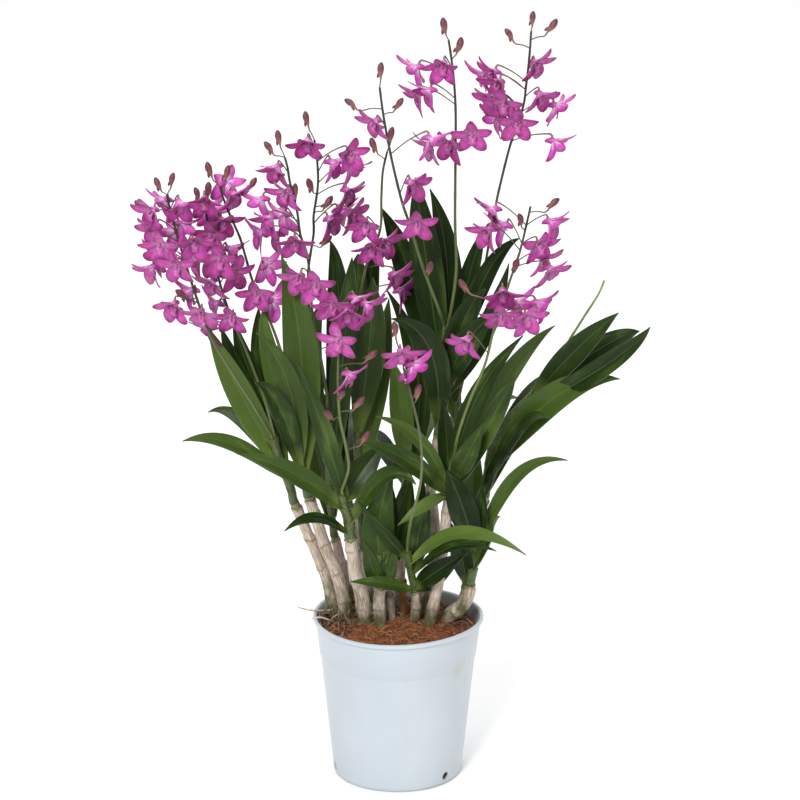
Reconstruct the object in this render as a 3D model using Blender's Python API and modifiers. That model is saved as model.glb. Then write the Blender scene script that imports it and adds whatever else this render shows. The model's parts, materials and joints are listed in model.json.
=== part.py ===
"""A pink rock orchid (a small dendrobium) in bloom, in a pale plastic nursery pot.

The pot holds a mound of coir and bark. Papery canes stand in it in plain holes. Each cane carries a leafy
top, and the tops carry arching sprays of magenta flowers. Lengths are in millimetres until a mesh is
finished, and the origin is the centre of the pot's base, with Z up and the front towards -Y.
"""
import math
import random

import bpy
import bmesh
from mathutils import Matrix, Vector, noise

MM = 0.001
UP = Vector((0.0, 0.0, 1.0))
FRONT = Vector((0.0, -1.0, 0.0))
GAP = 0.3

# Pot
POT_HEIGHT = 117.0
RIM_RADIUS = 60.0
BASE_RADIUS = 45.5
WALL = 1.3
FLOOR = 2.4
STEP_HEIGHT = 88.0
STEP_OUT = 0.6
LIP_HEIGHT = 3.0
LIP_OUT = 1.8
POT_SIDES = 36
DRAIN_RADIUS = 3.0
DRAIN_SIDES = 10
DRAIN_REACH = 16.0
DRAIN_HEIGHT = 6.5
DRAIN_AZIMUTHS = (-43.0, 77.0, 197.0)

# Growing medium, with its bark chips at the back and round the sides
SOIL_EDGE = 107.0
SOIL_DOME = 6.0
SOIL_ROUGHNESS = 1.5
SOIL_LUMP = 9.0
SOIL_SLACK = 0.2
SOIL_RINGS = 3
SOIL_SIDES = 22
HOLE_DEPTH = 11.0
HOLE_CLEARANCE = 0.6
HOLE_SECTIONS = 4
CHIP_PLACES = [(-50, 16), (-42, 32), (-6, 48), (10, 46), (40, 36), (50, 6), (47, 20)]
CHIP_SIZES = [(10, 14), (7, 9), (6, 8)]
CHIP_TILT = 0.5
CHIP_LIFT = 1.0
CHIP_INWARD = 0.9

# The front view is read on the pot's middle plane by an eye this far in front of it and this high.
EYE_DISTANCE = 2120.0
EYE_HEIGHT = 939.0

# How far apart the sections of canes, leafy tops and stalks lie
CANE_STEP = 17.0
TOP_STEP = 14.0
STALK_STEP = 25.0

# A cane thins towards its top and swells at its joints. Its leafy top starts a little slimmer.
CANE_TAPER = 0.18
JOINT_SWELL = 1.12
TOP_SHARE = 0.88
TOP_RADIUS = 2.5

# Leaves
LEAF_ROWS = (0.0, 0.12, 0.32, 0.54, 0.78)
NARROW_ROWS = (0.0, 0.2, 0.5, 0.8)
NARROW_WIDTH = 17
LEAF_THICKNESS = 1.4
LEAF_FOLD = 0.11
LEAF_TWIST = 14.0
LEAF_SEAT = 2.0

# Stalks, flowers and buds. A bloom leans to the front and down, and swings a little to either side.
STALK_RADIUS = 0.95
PEDICEL_RADIUS = 0.7
PEDICEL_TAPER = 0.6
HUB_RADIUS = 2.2
HUB_TAPER = 0.8
HUB_TURN = 36.0
HUB_DEPTH = 2.2
TEPAL_THICKNESS = 0.9
TEPAL_WIDEST = 0.56
BLOOM_LEAN = Vector((0.0, -0.35, -0.25))
BLOOM_SWING = 25
BLOOM_HANG = 5.0
BUD_RADIUS = 2.3
BUD_LENGTH = 10.0
BUD_RISE = 0.6
BUD_HANG = 8.0

# Each tepal by its direction round the flower: length, width, lift of its middle and lift of its tip.
TEPALS = {
    90: (14.0, 8.4, 2.4, 3.0),
    18: (14.0, 9.6, 1.8, 2.6),
    162: (14.0, 9.6, 1.8, 2.6),
    306: (14.0, 9.6, 3.4, 6.0),
    234: (14.0, 9.6, 3.4, 6.0),
}
LIP_LENGTH = 6.5
LIP_DROP = 3.0

# Leafy stems. "foot" is where the cane stands in the medium, as x and y. The other places are x and z as
# seen from the front, then the depth y. A leaf is its station along the top, its middle, its tip, its width
# and how far its face turns from the front towards the sky, in degrees.
STEMS = {
    "left_outer": {
        "foot": (-44, 14),
        "cane": [(-49, 140, 13), (-56, 160, 10), (-64, 180, 7), (-72, 200, 4)],
        "cane_radius": 4.0,
        "top": [(-75, 212, 2), (-82, 230, 0), (-86, 247, -2)],
        "leaves": [
            (0.60, (-116, 243, -12), (-149, 245, -24), 12, 52),
            (0.60, (-108, 260, 24), (-131, 266, 44), 11, 50),
            (0.70, (-110, 283, 4), (-130, 327, 4), 19, 12),
            (0.80, (-101, 290, 12), (-113, 333, 14), 15, 10),
            (0.60, (-92, 294, 22), (-95, 341, 30), 17, 10),
        ],
    },
    "left_inner": {
        "foot": (-34, 4),
        "cane": [(-42, 145, -2), (-50, 165, -6), (-56, 185, -10), (-62, 205, -14)],
        "cane_radius": 4.4,
        "top": [(-66, 222, -17), (-68, 240, -19), (-69, 256, -20)],
        "leaves": [
            (0.55, (-67, 315, -26), (-79, 377, -18), 24, 8),
            (0.55, (-82, 270, -42), (-98, 287, -56), 15, 35),
            (0.60, (-86, 298, -4), (-92, 342, 6), 14, 15),
            (0.66, (-76, 288, -40), (-97, 323, -46), 18, 20),
        ],
    },
    "left_front": {
        "foot": (-22, -6),
        "cane": [(-25, 130, -11), (-29, 145, -16), (-31, 160, -20), (-33, 175, -24)],
        "cane_radius": 5.2,
        "top": [(-34, 186, -27), (-37, 196, -30), (-39, 206, -32)],
        "leaves": [
            (0.75, (-72, 221, -46), (-112, 236, -60), 15, 42),
            (0.60, (-51, 252, -42), (-70, 303, -56), 13, 12),
            (0.50, (-8, 219, -44), (13, 213, -54), 14, 45),
            (0.85, (-25, 222, -18), (-8, 244, -12), 19, 20),
            (0.25, (-57, 188, -46), (-79, 179, -66), 10, 55),
        ],
    },
    "left_back": {
        "foot": (-30, 25),
        "cane": [(-33, 135, 24), (-38, 150, 22), (-44, 175, 18)],
        "cane_radius": 3.6,
        "top": [(-47, 200, 15), (-48, 230, 12), (-46, 262, 8)],
        "leaves": [
            (0.25, (-60, 286, 9), (-49, 350, 6), 18, 20),
            (0.30, (-40, 328, 30), (-46, 388, 34), 18, 8),
            (0.55, (-36, 320, -2), (-31, 376, -10), 16, 12),
            (0.45, (-80, 262, 40), (-106, 266, 62), 14, 50),
            (0.45, (-40, 290, 48), (-52, 312, 84), 14, 70),
        ],
    },
    "centre_back": {
        "foot": (-17, 14),
        "cane": [(-22, 145, 16), (-24, 165, 18)],
        "cane_radius": 3.3,
        "top": [(-26, 200, 21), (-28, 250, 25), (-28, 300, 26)],
        "leaves": [
            (0.80, (-22, 342, 34), (-12, 388, 36), 18, 12),
            (0.66, (-19, 318, 10), (-17, 362, 0), 22, 15),
            (0.45, (-13, 296, 32), (-6, 347, 36), 17, 12),
            (0.40, (-31, 255, 58), (-32, 268, 98), 15, 66),
        ],
    },
    "centre_low": {
        "foot": (-12, -13),
        "cane": [(-13, 125, -16), (-12, 138, -18)],
        "cane_radius": 4.3,
        "top": [(-12, 146, -20), (-13, 154, -22), (-14, 162, -24)],
        "leaves": [
            (0.80, (-13, 186, -30), (-3, 224, -40), 22, 20),
            (0.60, (2, 184, -10), (8, 226, -4), 20, 20),
        ],
    },
    "centre_shoot": {
        "foot": (11, -6),
        "cane": [(13, 124, -9), (12, 134, -11)],
        "cane_radius": 3.4,
        "top": [(10, 145, -14), (8, 154, -18), (7, 163, -22)],
        "leaves": [
            (0.20, (-10, 140, -30), (-33, 141, -40), 9, 40),
            (0.30, (28, 149, -28), (49, 163, -38), 14, 28),
            (0.80, (46, 177, -42), (90, 161, -64), 11, 45),
            (0.55, (38, 167, -52), (69, 164, -78), 9, 50),
            (0.92, (-8, 175, -34), (-28, 201, -50), 9, 20),
            (0.60, (15, 178, -18), (22, 208, -16), 16, 20),
        ],
    },
    "tall_centre": {
        "foot": (19, 7),
        "cane": [(24, 140, 5), (26, 180, 3), (23, 210, 1), (26, 232, 0), (28, 250, -1)],
        "cane_radius": 3.8,
        "top": [(30, 268, -2), (32, 290, -2), (33, 312, 0), (33, 325, 1)],
        "leaves": [
            (0.50, (9, 362, 22), (-11, 411, 26), 20, 10),
            (0.62, (19, 378, 10), (12, 432, 8), 22, 8),
            (0.48, (34, 366, 19), (22, 424, 22), 20, 8),
            (0.50, (47, 356, 8), (60, 398, 8), 14, 8),
            (0.52, (58, 359, -10), (83, 390, -14), 13, 22),
            (0.40, (44, 328, -18), (60, 354, -26), 18, 22),
            (0.50, (48, 317, -24), (69, 338, -34), 18, 22),
            (0.20, (22, 311, -26), (-4, 333, -36), 20, 20),
        ],
    },
    "right_front": {
        "foot": (21, -11),
        "cane": [(27, 132, -15), (31, 160, -19), (34, 190, -23), (36, 205, -24)],
        "cane_radius": 3.9,
        "top": [(37, 214, -25), (38, 222, -26), (39, 231, -27)],
        "leaves": [
            (0.35, (14, 246, -36), (-15, 263, -42), 10, 38),
            (0.15, (4, 232, -50), (-24, 243, -66), 14, 40),
            (0.60, (49, 236, -42), (59, 258, -54), 14, 25),
            (0.40, (34, 246, -14), (31, 274, -12), 13, 12),
            (0.66, (54, 275, -26), (86, 321, -26), 14, 12),
            (0.50, (73, 288, -14), (108, 328, -8), 14, 12),
            (0.30, (65, 261, -46), (81, 291, -64), 15, 22),
            (0.10, (18, 197, -36), (0, 183, -40), 9, 50),
        ],
    },
    "right_low": {
        "foot": (31, 2),
        "cane": [(37, 116, -1), (45, 122, -4), (49, 131, -5), (50, 139, -5)],
        "cane_radius": 5.6,
        "top": [(52, 150, -6), (54, 163, -8), (57, 176, -10)],
        "leaves": [
            (0.70, (57, 190, -18), (58, 212, -26), 12, 15),
            (0.85, (83, 219, -22), (118, 231, -34), 10, 45),
            (0.80, (52, 206, 0), (56, 244, -2), 17, 12),
            (0.50, (66, 180, -30), (70, 190, -48), 9, 50),
            (0.85, (44, 200, -28), (34, 224, -40), 20, 20),
        ],
    },
    "right_outer": {
        "foot": (42, 20),
        "cane": [(49, 135, 19), (51, 158, 17), (55, 180, 15), (61, 205, 12)],
        "cane_radius": 3.9,
        "top": [(63, 225, 9), (67, 245, 6), (78, 262, 4), (90, 275, 2), (100, 287, 0)],
        "leaves": [
            (0.30, (108, 276, -16), (153, 290, -26), 21, 28),
            (0.22, (86, 256, -16), (105, 261, -28), 11, 45),
            (0.14, (77, 241, 22), (90, 249, 34), 10, 45),
            (0.10, (69, 229, -6), (79, 235, -14), 8, 45),
            (0.90, (124, 312, -10), (151, 337, -16), 17, 15),
            (0.84, (138, 311, 12), (166, 324, 24), 17, 28),
            (0.72, (142, 299, -30), (173, 327, -36), 14, 25),
            (0.60, (98, 284, 40), (112, 292, 78), 14, 60),
        ],
    },
    "back_right": {
        "foot": (22, 33),
        "cane": [(30, 160, 37), (36, 200, 36)],
        "cane_radius": 3.5,
        "top": [(39, 225, 34), (41, 250, 32), (42, 272, 30)],
        "leaves": [
            (0.85, (30, 300, 46), (16, 326, 62), 18, 25),
            (0.65, (62, 272, 56), (84, 276, 84), 16, 50),
            (0.45, (44, 262, 70), (52, 268, 110), 15, 72),
        ],
    },
    "back_centre": {
        "foot": (2, 26),
        "cane": [(2, 150, 28), (4, 195, 28)],
        "cane_radius": 3.5,
        "top": [(5, 210, 28), (6, 224, 27), (6, 238, 26)],
        "leaves": [
            (0.92, (3, 264, 20), (2, 292, 14), 15, 10),
            (0.60, (14, 292, 34), (-8, 354, 40), 17, 10),
            (0.75, (22, 262, 60), (32, 272, 96), 14, 68),
            (0.55, (-14, 246, 60), (-28, 250, 98), 14, 66),
        ],
    },
    "back_left": {
        "foot": (-20, 42),
        "cane": [(-26, 160, 50), (-34, 200, 52)],
        "cane_radius": 3.5,
        "top": [(-38, 216, 53), (-41, 230, 53), (-43, 244, 53)],
        "leaves": [
            (0.90, (-56, 275, 66), (-72, 296, 84), 14, 40),
            (0.60, (-70, 245, 74), (-98, 246, 100), 14, 58),
            (0.40, (-40, 240, 84), (-44, 236, 118), 13, 72),
        ],
    },
}

# Short papery stumps of old canes: foot, tip and radius. They thin towards their tips.
STUMP_STEP = 9.0
STUMP_TAPER = 0.5
STUMPS = {
    "grey": ((-4, -4), (-6, 134, -7), 3.2),
    "orange": ((4, 3), (4, 143, 1), 2.4),
}

# A pale root from the outer left cane, out over the rim.
ROOT_KNOTS = [(-45, 120, 13), (-52, 119, 7), (-60.5, 119.4, 0), (-66, 120.5, -2), (-71, 122, -3)]
ROOT_RADIUS = 0.8
ROOT_STEP = 4.0

# Flower sprays. "on" is the stem whose top carries the stalk, "seat" its foot's place on that top, and a
# flower or bud is x and z as seen from the front, then its depth from the stalk.
SPRAYS = {
    "far_left": {
        "on": "left_outer",
        "seat": (-0.9, -1.0),
        "stalk": [(-98, 268, -18), (-116, 298, -24), (-128, 320, -24), (-138, 350, -20), (-146, 378, -16),
                  (-153, 405, -14), (-156, 420, -14)],
        "flowers": [(-160, 415, 6), (-147, 412, -12), (-166, 396, -8), (-151, 393, 16), (-165, 376, 8),
                    (-151, 369, -14), (-138, 386, -10), (-154, 341, -8), (-135, 335, -14)],
        "buds": [(-162, 428, 2), (-152, 431, 0), (-174, 413, -4), (-148, 350, -6)],
    },
    "left_mass": {
        "on": "left_outer",
        "seat": (0.9, 1.0),
        "stalk": [(-92, 275, 6), (-104, 310, 10), (-116, 340, 8), (-124, 370, 4), (-128, 395, 2),
                  (-130, 408, 2)],
        "flowers": [(-127, 391, -12), (-112, 381, 6), (-126, 376, 16), (-128, 357, -14), (-110, 364, -8),
                    (-114, 333, -6), (-126, 410, 8), (-138, 374, 10)],
        "buds": [(-136, 421, 2), (-128, 424, -4)],
    },
    "left": {
        "on": "left_inner",
        "seat": (-1.0, 0.9),
        "stalk": [(-72, 280, -10), (-84, 322, 6), (-98, 357, 6), (-103, 375, 4), (-107, 390, 2),
                  (-112, 402, 0), (-117, 415, -2), (-120, 425, -2)],
        "flowers": [(-109, 418, -8), (-97, 350, -12), (-84, 345, 10), (-88, 370, 14)],
        "buds": [(-127, 438, -2), (-115, 436, 2), (-98, 428, 4)],
    },
    "left_middle": {
        "on": "left_back",
        "seat": (-1.0, -0.7),
        "stalk": [(-52, 300, -4), (-58, 335, -10), (-61, 375, -12), (-66, 392, -12), (-68, 408, -12),
                  (-73, 430, -12), (-74, 438, -12), (-76, 446, -12)],
        "flowers": [(-83, 437, -6), (-94, 415, 4), (-77, 420, -12), (-88, 402, -10), (-84, 391, 10),
                    (-70, 386, -12), (-68, 361, -26)],
        "buds": [(-80, 460, 0), (-87, 453, -2), (-69, 423, 8)],
    },
    "middle": {
        "on": "left_back",
        "seat": (0.9, 0.9),
        "stalk": [(-54, 300, 20), (-60, 335, 20), (-61, 365, 18), (-57, 393, 16), (-57, 405, 16),
                  (-54, 425, 16), (-54, 440, 16), (-56, 458, 16)],
        "flowers": [(-61, 455, -6), (-42, 441, -4), (-30, 437, 10), (-32, 421, -10), (-37, 408, 6),
                    (-44, 402, -12)],
        "buds": [(-61, 473, 0), (-59, 427, -4), (-47, 415, 4), (-48, 388, -4)],
    },
    "front_low": {
        "on": "left_front",
        "seat": (0.6, -0.9),
        "stalk": [(-34, 225, -40), (-36, 242, -45), (-40, 262, -51), (-41, 285, -56), (-41, 310, -58),
                  (-44, 330, -56), (-52, 345, -52), (-60, 352, -50)],
        "flowers": [(-56, 356, -8), (-45, 341, -14), (-27, 345, -4), (-34, 336, -16), (-41, 316, -14),
                    (-31, 291, -4)],
        "buds": [(-48, 264, -8), (-39, 279, -8), (-26, 273, 0), (-22, 248, 0), (-18, 307, 2)],
    },
    "centre": {
        "on": "centre_back",
        "seat": (0.0, 0.0),
        "stalk": [(-27, 335, 16), (-22, 368, 10), (-12, 395, 6), (-11, 418, 6), (-10, 436, 6), (-7, 450, 6)],
        "flowers": [(-22, 398, -12), (-18, 382, -14), (0, 362, -14)],
        "buds": [(-16, 455, 2), (-4, 462, 0)],
    },
    "centre_tall": {
        "on": "tall_centre",
        "seat": (-1.1, -1.2),
        "stalk": [(28, 340, -14), (17, 370, -25), (8, 400, -28), (3, 415, -28), (-3, 440, -28),
                  (-7, 460, -27), (-10, 478, -26), (-12, 494, -26)],
        "flowers": [(-17, 469, -6), (24, 457, -6), (11, 427, -8), (13, 399, -8)],
        "buds": [(-11, 506, 0), (-32, 483, 2), (1, 483, -2), (22, 369, -4)],
    },
    "top_centre": {
        "on": "tall_centre",
        "seat": (1.2, -1.0),
        "stalk": [(37, 342, -5), (40, 368, -5), (39, 400, -2), (39, 440, 2), (39, 475, 6), (38, 495, 8),
                  (36, 513, 8), (34, 526, 8)],
        "flowers": [(30, 508, -12), (11, 506, 4), (19, 490, -4), (50, 461, -18)],
        "buds": [(31, 536, 0), (41, 523, 2)],
    },
    "top_right": {
        "on": "back_right",
        "seat": (0.0, 0.0),
        "stalk": [(48, 305, 28), (57, 355, 24), (66, 410, 18), (70, 430, 16), (76, 455, 14), (84, 480, 12),
                  (86, 495, 12), (88, 515, 12), (89, 532, 12)],
        "flowers": [(62, 503, 0), (62, 486, -8), (65, 472, 4), (80, 469, -12), (97, 487, -6), (108, 480, 6),
                    (107, 455, -2), (94, 509, 0)],
        "buds": [(90, 541, 0), (103, 536, 2), (74, 530, -2)],
    },
    "right": {
        "on": "right_front",
        "seat": (0.0, 0.0),
        "stalk": [(42, 250, -42), (50, 275, -52), (60, 300, -56), (66, 325, -55), (75, 355, -50),
                  (83, 380, -46), (88, 402, -44), (90, 412, -44)],
        "flowers": [(63, 408, 2), (60, 394, -8), (106, 400, -4), (101, 374, 4), (72, 350, -8), (83, 343, 10),
                    (98, 343, -2), (71, 334, -6), (46, 316, -6)],
        "buds": [(106, 414, 2), (83, 403, -8), (81, 371, -8), (45, 357, 0)],
    },
    "front_right": {
        "on": "centre_shoot",
        "seat": (0.0, 0.0),
        "stalk": [(9, 185, -52), (16, 215, -74), (16, 245, -86), (10, 275, -86), (4, 298, -82)],
        "flowers": [(3, 306, -6)],
        "buds": [(-2, 326, 2), (14, 281, 4)],
    },
    "far_right": {
        "on": "right_outer",
        "seat": (0.0, 0.0),
        "stalk": [(109, 302, 2), (118, 318, 4), (128, 335, 4), (137, 350, 4), (141, 360, 4)],
        "flowers": [],
        "buds": [],
    },
}

COLOURS = {
    "pot": ((0.70, 0.77, 0.83), 0.35),
    "medium": ((0.16, 0.055, 0.025), 0.9),
    "cane": ((0.55, 0.47, 0.38), 0.7),
    "leaf": ((0.05, 0.12, 0.025), 0.4),
    "petal": ((0.62, 0.09, 0.45), 0.5),
    "stump": ((0.45, 0.40, 0.34), 0.8),
    "young": ((0.20, 0.30, 0.06), 0.5),
}


def clear_scene():
    """Empties the scene of what it opens with."""
    for thing in list(bpy.data.objects):
        bpy.data.objects.remove(thing, do_unlink=True)


def new_collection(name):
    """A collection of that name in the scene."""
    group = bpy.data.collections.new(name)
    bpy.context.scene.collection.children.link(group)
    return group


def material(name):
    """A plain surface in one of the named colours."""
    colour, roughness = COLOURS[name]
    finish = bpy.data.materials.get(name) or bpy.data.materials.new(name)
    finish.use_nodes = True
    shader = finish.node_tree.nodes["Principled BSDF"]
    shader.inputs["Base Color"].default_value = (*colour, 1.0)
    shader.inputs["Roughness"].default_value = roughness
    shader.inputs["Metallic"].default_value = 0.0
    return finish


def seen(x, z, y):
    """The point at depth y that looks from the front to be at x and z on the middle plane."""
    reach = 1.0 + y / EYE_DISTANCE
    return Vector((x * reach, y, EYE_HEIGHT + (z - EYE_HEIGHT) * reach))


def wall_radius(height):
    """Radius of the pot's outer wall at a height."""
    slope = (RIM_RADIUS - LIP_OUT - STEP_OUT - BASE_RADIUS) / POT_HEIGHT
    stepped = STEP_OUT if height > STEP_HEIGHT else 0.0
    return BASE_RADIUS + slope * height + stepped


def soil_height(x, y):
    """Height of the medium's uneven mound."""
    inner = wall_radius(SOIL_EDGE) - WALL
    dome = SOIL_DOME * max(0.0, 1.0 - (x * x + y * y) / inner ** 2)
    return SOIL_EDGE + dome + SOIL_ROUGHNESS * noise.noise(Vector((x, y, 0.0)) / SOIL_LUMP)


def smooth_route(knots, spacing):
    """Points about `spacing` apart on a smooth curve through the knots."""
    ends = [2 * knots[0] - knots[1], *knots, 2 * knots[-1] - knots[-2]]
    points = [knots[0]]
    for before, start, stop, after in zip(ends, ends[1:], ends[2:], ends[3:]):
        steps = max(1, round((stop - start).length / spacing))
        lead = (stop - before) / 2
        trail = (after - start) / 2
        for step in range(1, steps + 1):
            t = step / steps
            points.append(
                start * (2 * t ** 3 - 3 * t ** 2 + 1) + lead * (t ** 3 - 2 * t ** 2 + t)
                + stop * (3 * t ** 2 - 2 * t ** 3) + trail * (t ** 3 - t ** 2)
            )
    return points


def station(points, share):
    """The point a share of the way along a route, and the route's direction there."""
    place = share * (len(points) - 1)
    first = min(int(place), len(points) - 2)
    step = points[first + 1] - points[first]
    return points[first] + step * (place - first), step.normalized()


def mesh_from(bm, name):
    """Closes a bmesh into a mesh with its faces pointing out."""
    bmesh.ops.recalc_face_normals(bm, faces=bm.faces)
    mesh = bpy.data.meshes.new(name)
    bm.to_mesh(mesh)
    bm.free()
    return mesh


def tube(name, points, radii, detail):
    """A round stem through the points, capped, as a welded mesh."""
    curve = bpy.data.curves.new(name, "CURVE")
    curve.dimensions = "3D"
    curve.bevel_depth = 1.0
    curve.bevel_resolution = detail
    curve.use_fill_caps = True
    spline = curve.splines.new("POLY")
    spline.points.add(len(points) - 1)
    for knot, place, radius in zip(spline.points, points, radii):
        knot.co = (*place, 1.0)
        knot.radius = radius
    holder = bpy.data.objects.new(name, curve)
    bpy.context.scene.collection.objects.link(holder)
    depsgraph = bpy.context.evaluated_depsgraph_get()
    mesh = bpy.data.meshes.new_from_object(holder.evaluated_get(depsgraph))
    bpy.data.objects.remove(holder)
    bpy.data.curves.remove(curve)
    bm = bmesh.new()
    bm.from_mesh(mesh)
    bpy.data.meshes.remove(mesh)
    bmesh.ops.remove_doubles(bm, verts=bm.verts, dist=0.01)
    return mesh_from(bm, name)


def fuse(name, body, pieces):
    """One closed solid from a body and the pieces sunk in it."""
    holder = bpy.data.objects.new(name, body)
    bpy.context.scene.collection.objects.link(holder)
    if pieces:
        group = new_collection(name + "_pieces")
        for piece in pieces:
            group.objects.link(bpy.data.objects.new(piece.name, piece))
        union = holder.modifiers.new("union", "BOOLEAN")
        union.operation = "UNION"
        union.operand_type = "COLLECTION"
        union.collection = group
        union.solver = "MANIFOLD"
        depsgraph = bpy.context.evaluated_depsgraph_get()
        body = bpy.data.meshes.new_from_object(holder.evaluated_get(depsgraph))
        for thing in list(group.objects):
            bpy.data.objects.remove(thing)
        bpy.data.collections.remove(group)
    bpy.data.objects.remove(holder)
    return body


def place_part(name, mesh, colour, group, smooth_angle=40.0):
    """Puts a finished mesh in the model, in metres."""
    mesh.transform(Matrix.Scale(MM, 4))
    mesh.name = name
    mesh.materials.clear()
    mesh.materials.append(material(colour))
    mesh.shade_smooth()
    mesh.set_sharp_from_angle(angle=math.radians(smooth_angle))
    part = bpy.data.objects.new(name, mesh)
    group.objects.link(part)
    return part


def cut(part, cutters, group):
    """Subtracts cutters, given as meshes in millimetres, from a part."""
    tools = bpy.data.collections.new(part.name + "_cutters")
    group.children.link(tools)
    for cutter in cutters:
        cutter.transform(Matrix.Scale(MM, 4))
        tool = bpy.data.objects.new(cutter.name, cutter)
        tool.hide_render = True
        tool.display_type = "WIRE"
        tools.objects.link(tool)
    slot = part.modifiers.new("cut", "BOOLEAN")
    slot.operation = "DIFFERENCE"
    slot.operand_type = "COLLECTION"
    slot.collection = tools


def build_pot(group, cutters):
    """The pot: a turned wall with a step and a lip, and three drain holes at its foot."""
    inner_foot = wall_radius(FLOOR) - WALL
    outline = [
        (0.0, FLOOR),
        (inner_foot, FLOOR),
        (wall_radius(STEP_HEIGHT) - WALL, STEP_HEIGHT + 1.0),
        (RIM_RADIUS - LIP_OUT - WALL, POT_HEIGHT - LIP_HEIGHT),
        (RIM_RADIUS - LIP_OUT - WALL + 0.9, POT_HEIGHT),
        (RIM_RADIUS - 0.7, POT_HEIGHT),
        (RIM_RADIUS, POT_HEIGHT - 0.9),
        (RIM_RADIUS, POT_HEIGHT - LIP_HEIGHT),
        (wall_radius(POT_HEIGHT - LIP_HEIGHT), POT_HEIGHT - LIP_HEIGHT - 0.8),
        (wall_radius(STEP_HEIGHT + 0.1), STEP_HEIGHT + 0.8),
        (wall_radius(STEP_HEIGHT), STEP_HEIGHT),
        (wall_radius(1.5), 1.5),
        (BASE_RADIUS - 1.2, 0.0),
        (0.0, 0.0),
    ]
    bm = bmesh.new()
    corners = [bm.verts.new((radius * MM, 0.0, height * MM)) for radius, height in outline]
    for start, stop in zip(corners, corners[1:]):
        bm.edges.new((start, stop))
    mesh = bpy.data.meshes.new("pot")
    bm.to_mesh(mesh)
    bm.free()
    mesh.materials.append(material("pot"))
    pot = bpy.data.objects.new("pot", mesh)
    group.objects.link(pot)
    turn = pot.modifiers.new("turn", "SCREW")
    turn.steps = POT_SIDES
    turn.render_steps = POT_SIDES
    turn.use_merge_vertices = True
    turn.merge_threshold = 0.0001
    turn.use_normal_calculate = True
    drains = []
    for azimuth in DRAIN_AZIMUTHS:
        heading = Vector((math.cos(math.radians(azimuth)), math.sin(math.radians(azimuth)), 0.0))
        bm = bmesh.new()
        bmesh.ops.create_cone(
            bm, cap_ends=True, segments=DRAIN_SIDES, radius1=DRAIN_RADIUS, radius2=DRAIN_RADIUS,
            depth=DRAIN_REACH,
        )
        aim = UP.rotation_difference(heading).to_matrix().to_4x4()
        middle = heading * wall_radius(DRAIN_HEIGHT) + UP * DRAIN_HEIGHT
        bmesh.ops.transform(bm, matrix=Matrix.Translation(middle) @ aim, verts=bm.verts)
        drains.append(mesh_from(bm, f"drain_{azimuth:.0f}"))
    cut(pot, drains, cutters)


def bark_chips():
    """Chips of bark at the back of the mound, half sunk in it."""
    draw = random.Random(11)
    chips = []
    for number, (x, y) in enumerate(CHIP_PLACES):
        bm = bmesh.new()
        bmesh.ops.create_cube(bm, size=1.0)
        sides = [draw.uniform(*span) for span in CHIP_SIZES]
        turn = Matrix.Rotation(draw.uniform(0, math.pi), 4, "Z")
        tilt = Matrix.Rotation(draw.uniform(-CHIP_TILT, CHIP_TILT), 4, "X")
        lift = Matrix.Translation((x * CHIP_INWARD, y * CHIP_INWARD, soil_height(x, y) + CHIP_LIFT))
        size = Matrix.Diagonal((*sides, 1.0))
        bmesh.ops.transform(bm, matrix=lift @ turn @ tilt @ size, verts=bm.verts)
        chips.append(mesh_from(bm, f"chip_{number}"))
    return chips


def build_medium(group, cutters, shafts):
    """Coir and bark: a plug in the pot with an uneven mound on top and a plain hole for each shaft."""
    foot = FLOOR + GAP
    low = wall_radius(foot) - WALL - GAP - SOIL_SLACK
    high = wall_radius(SOIL_EDGE) - WALL - GAP - STEP_OUT - 2 * SOIL_SLACK
    bm = bmesh.new()
    bmesh.ops.create_cone(
        bm, cap_ends=True, segments=SOIL_SIDES, radius1=low, radius2=high, depth=SOIL_EDGE - foot,
        matrix=Matrix.Translation((0.0, 0.0, (SOIL_EDGE + foot) / 2)),
    )
    top = max(bm.faces, key=lambda face: face.calc_center_median().z)
    for _ in range(SOIL_RINGS):
        bmesh.ops.inset_region(bm, faces=[top], thickness=high / (SOIL_RINGS + 1), use_even_offset=True)
    bmesh.ops.triangulate(bm, faces=bm.faces)
    for vert in bm.verts:
        if vert.co.z > SOIL_EDGE - 1.0:
            vert.co.z = soil_height(vert.co.x, vert.co.y)
    mound = fuse("medium", mesh_from(bm, "mound"), bark_chips())
    medium = place_part("growing_medium", mound, "medium", group, 30.0)
    holes = [tube(f"hole_{number}", points, radii, 1) for number, (points, radii) in enumerate(shafts)]
    cut(medium, holes, cutters)


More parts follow.
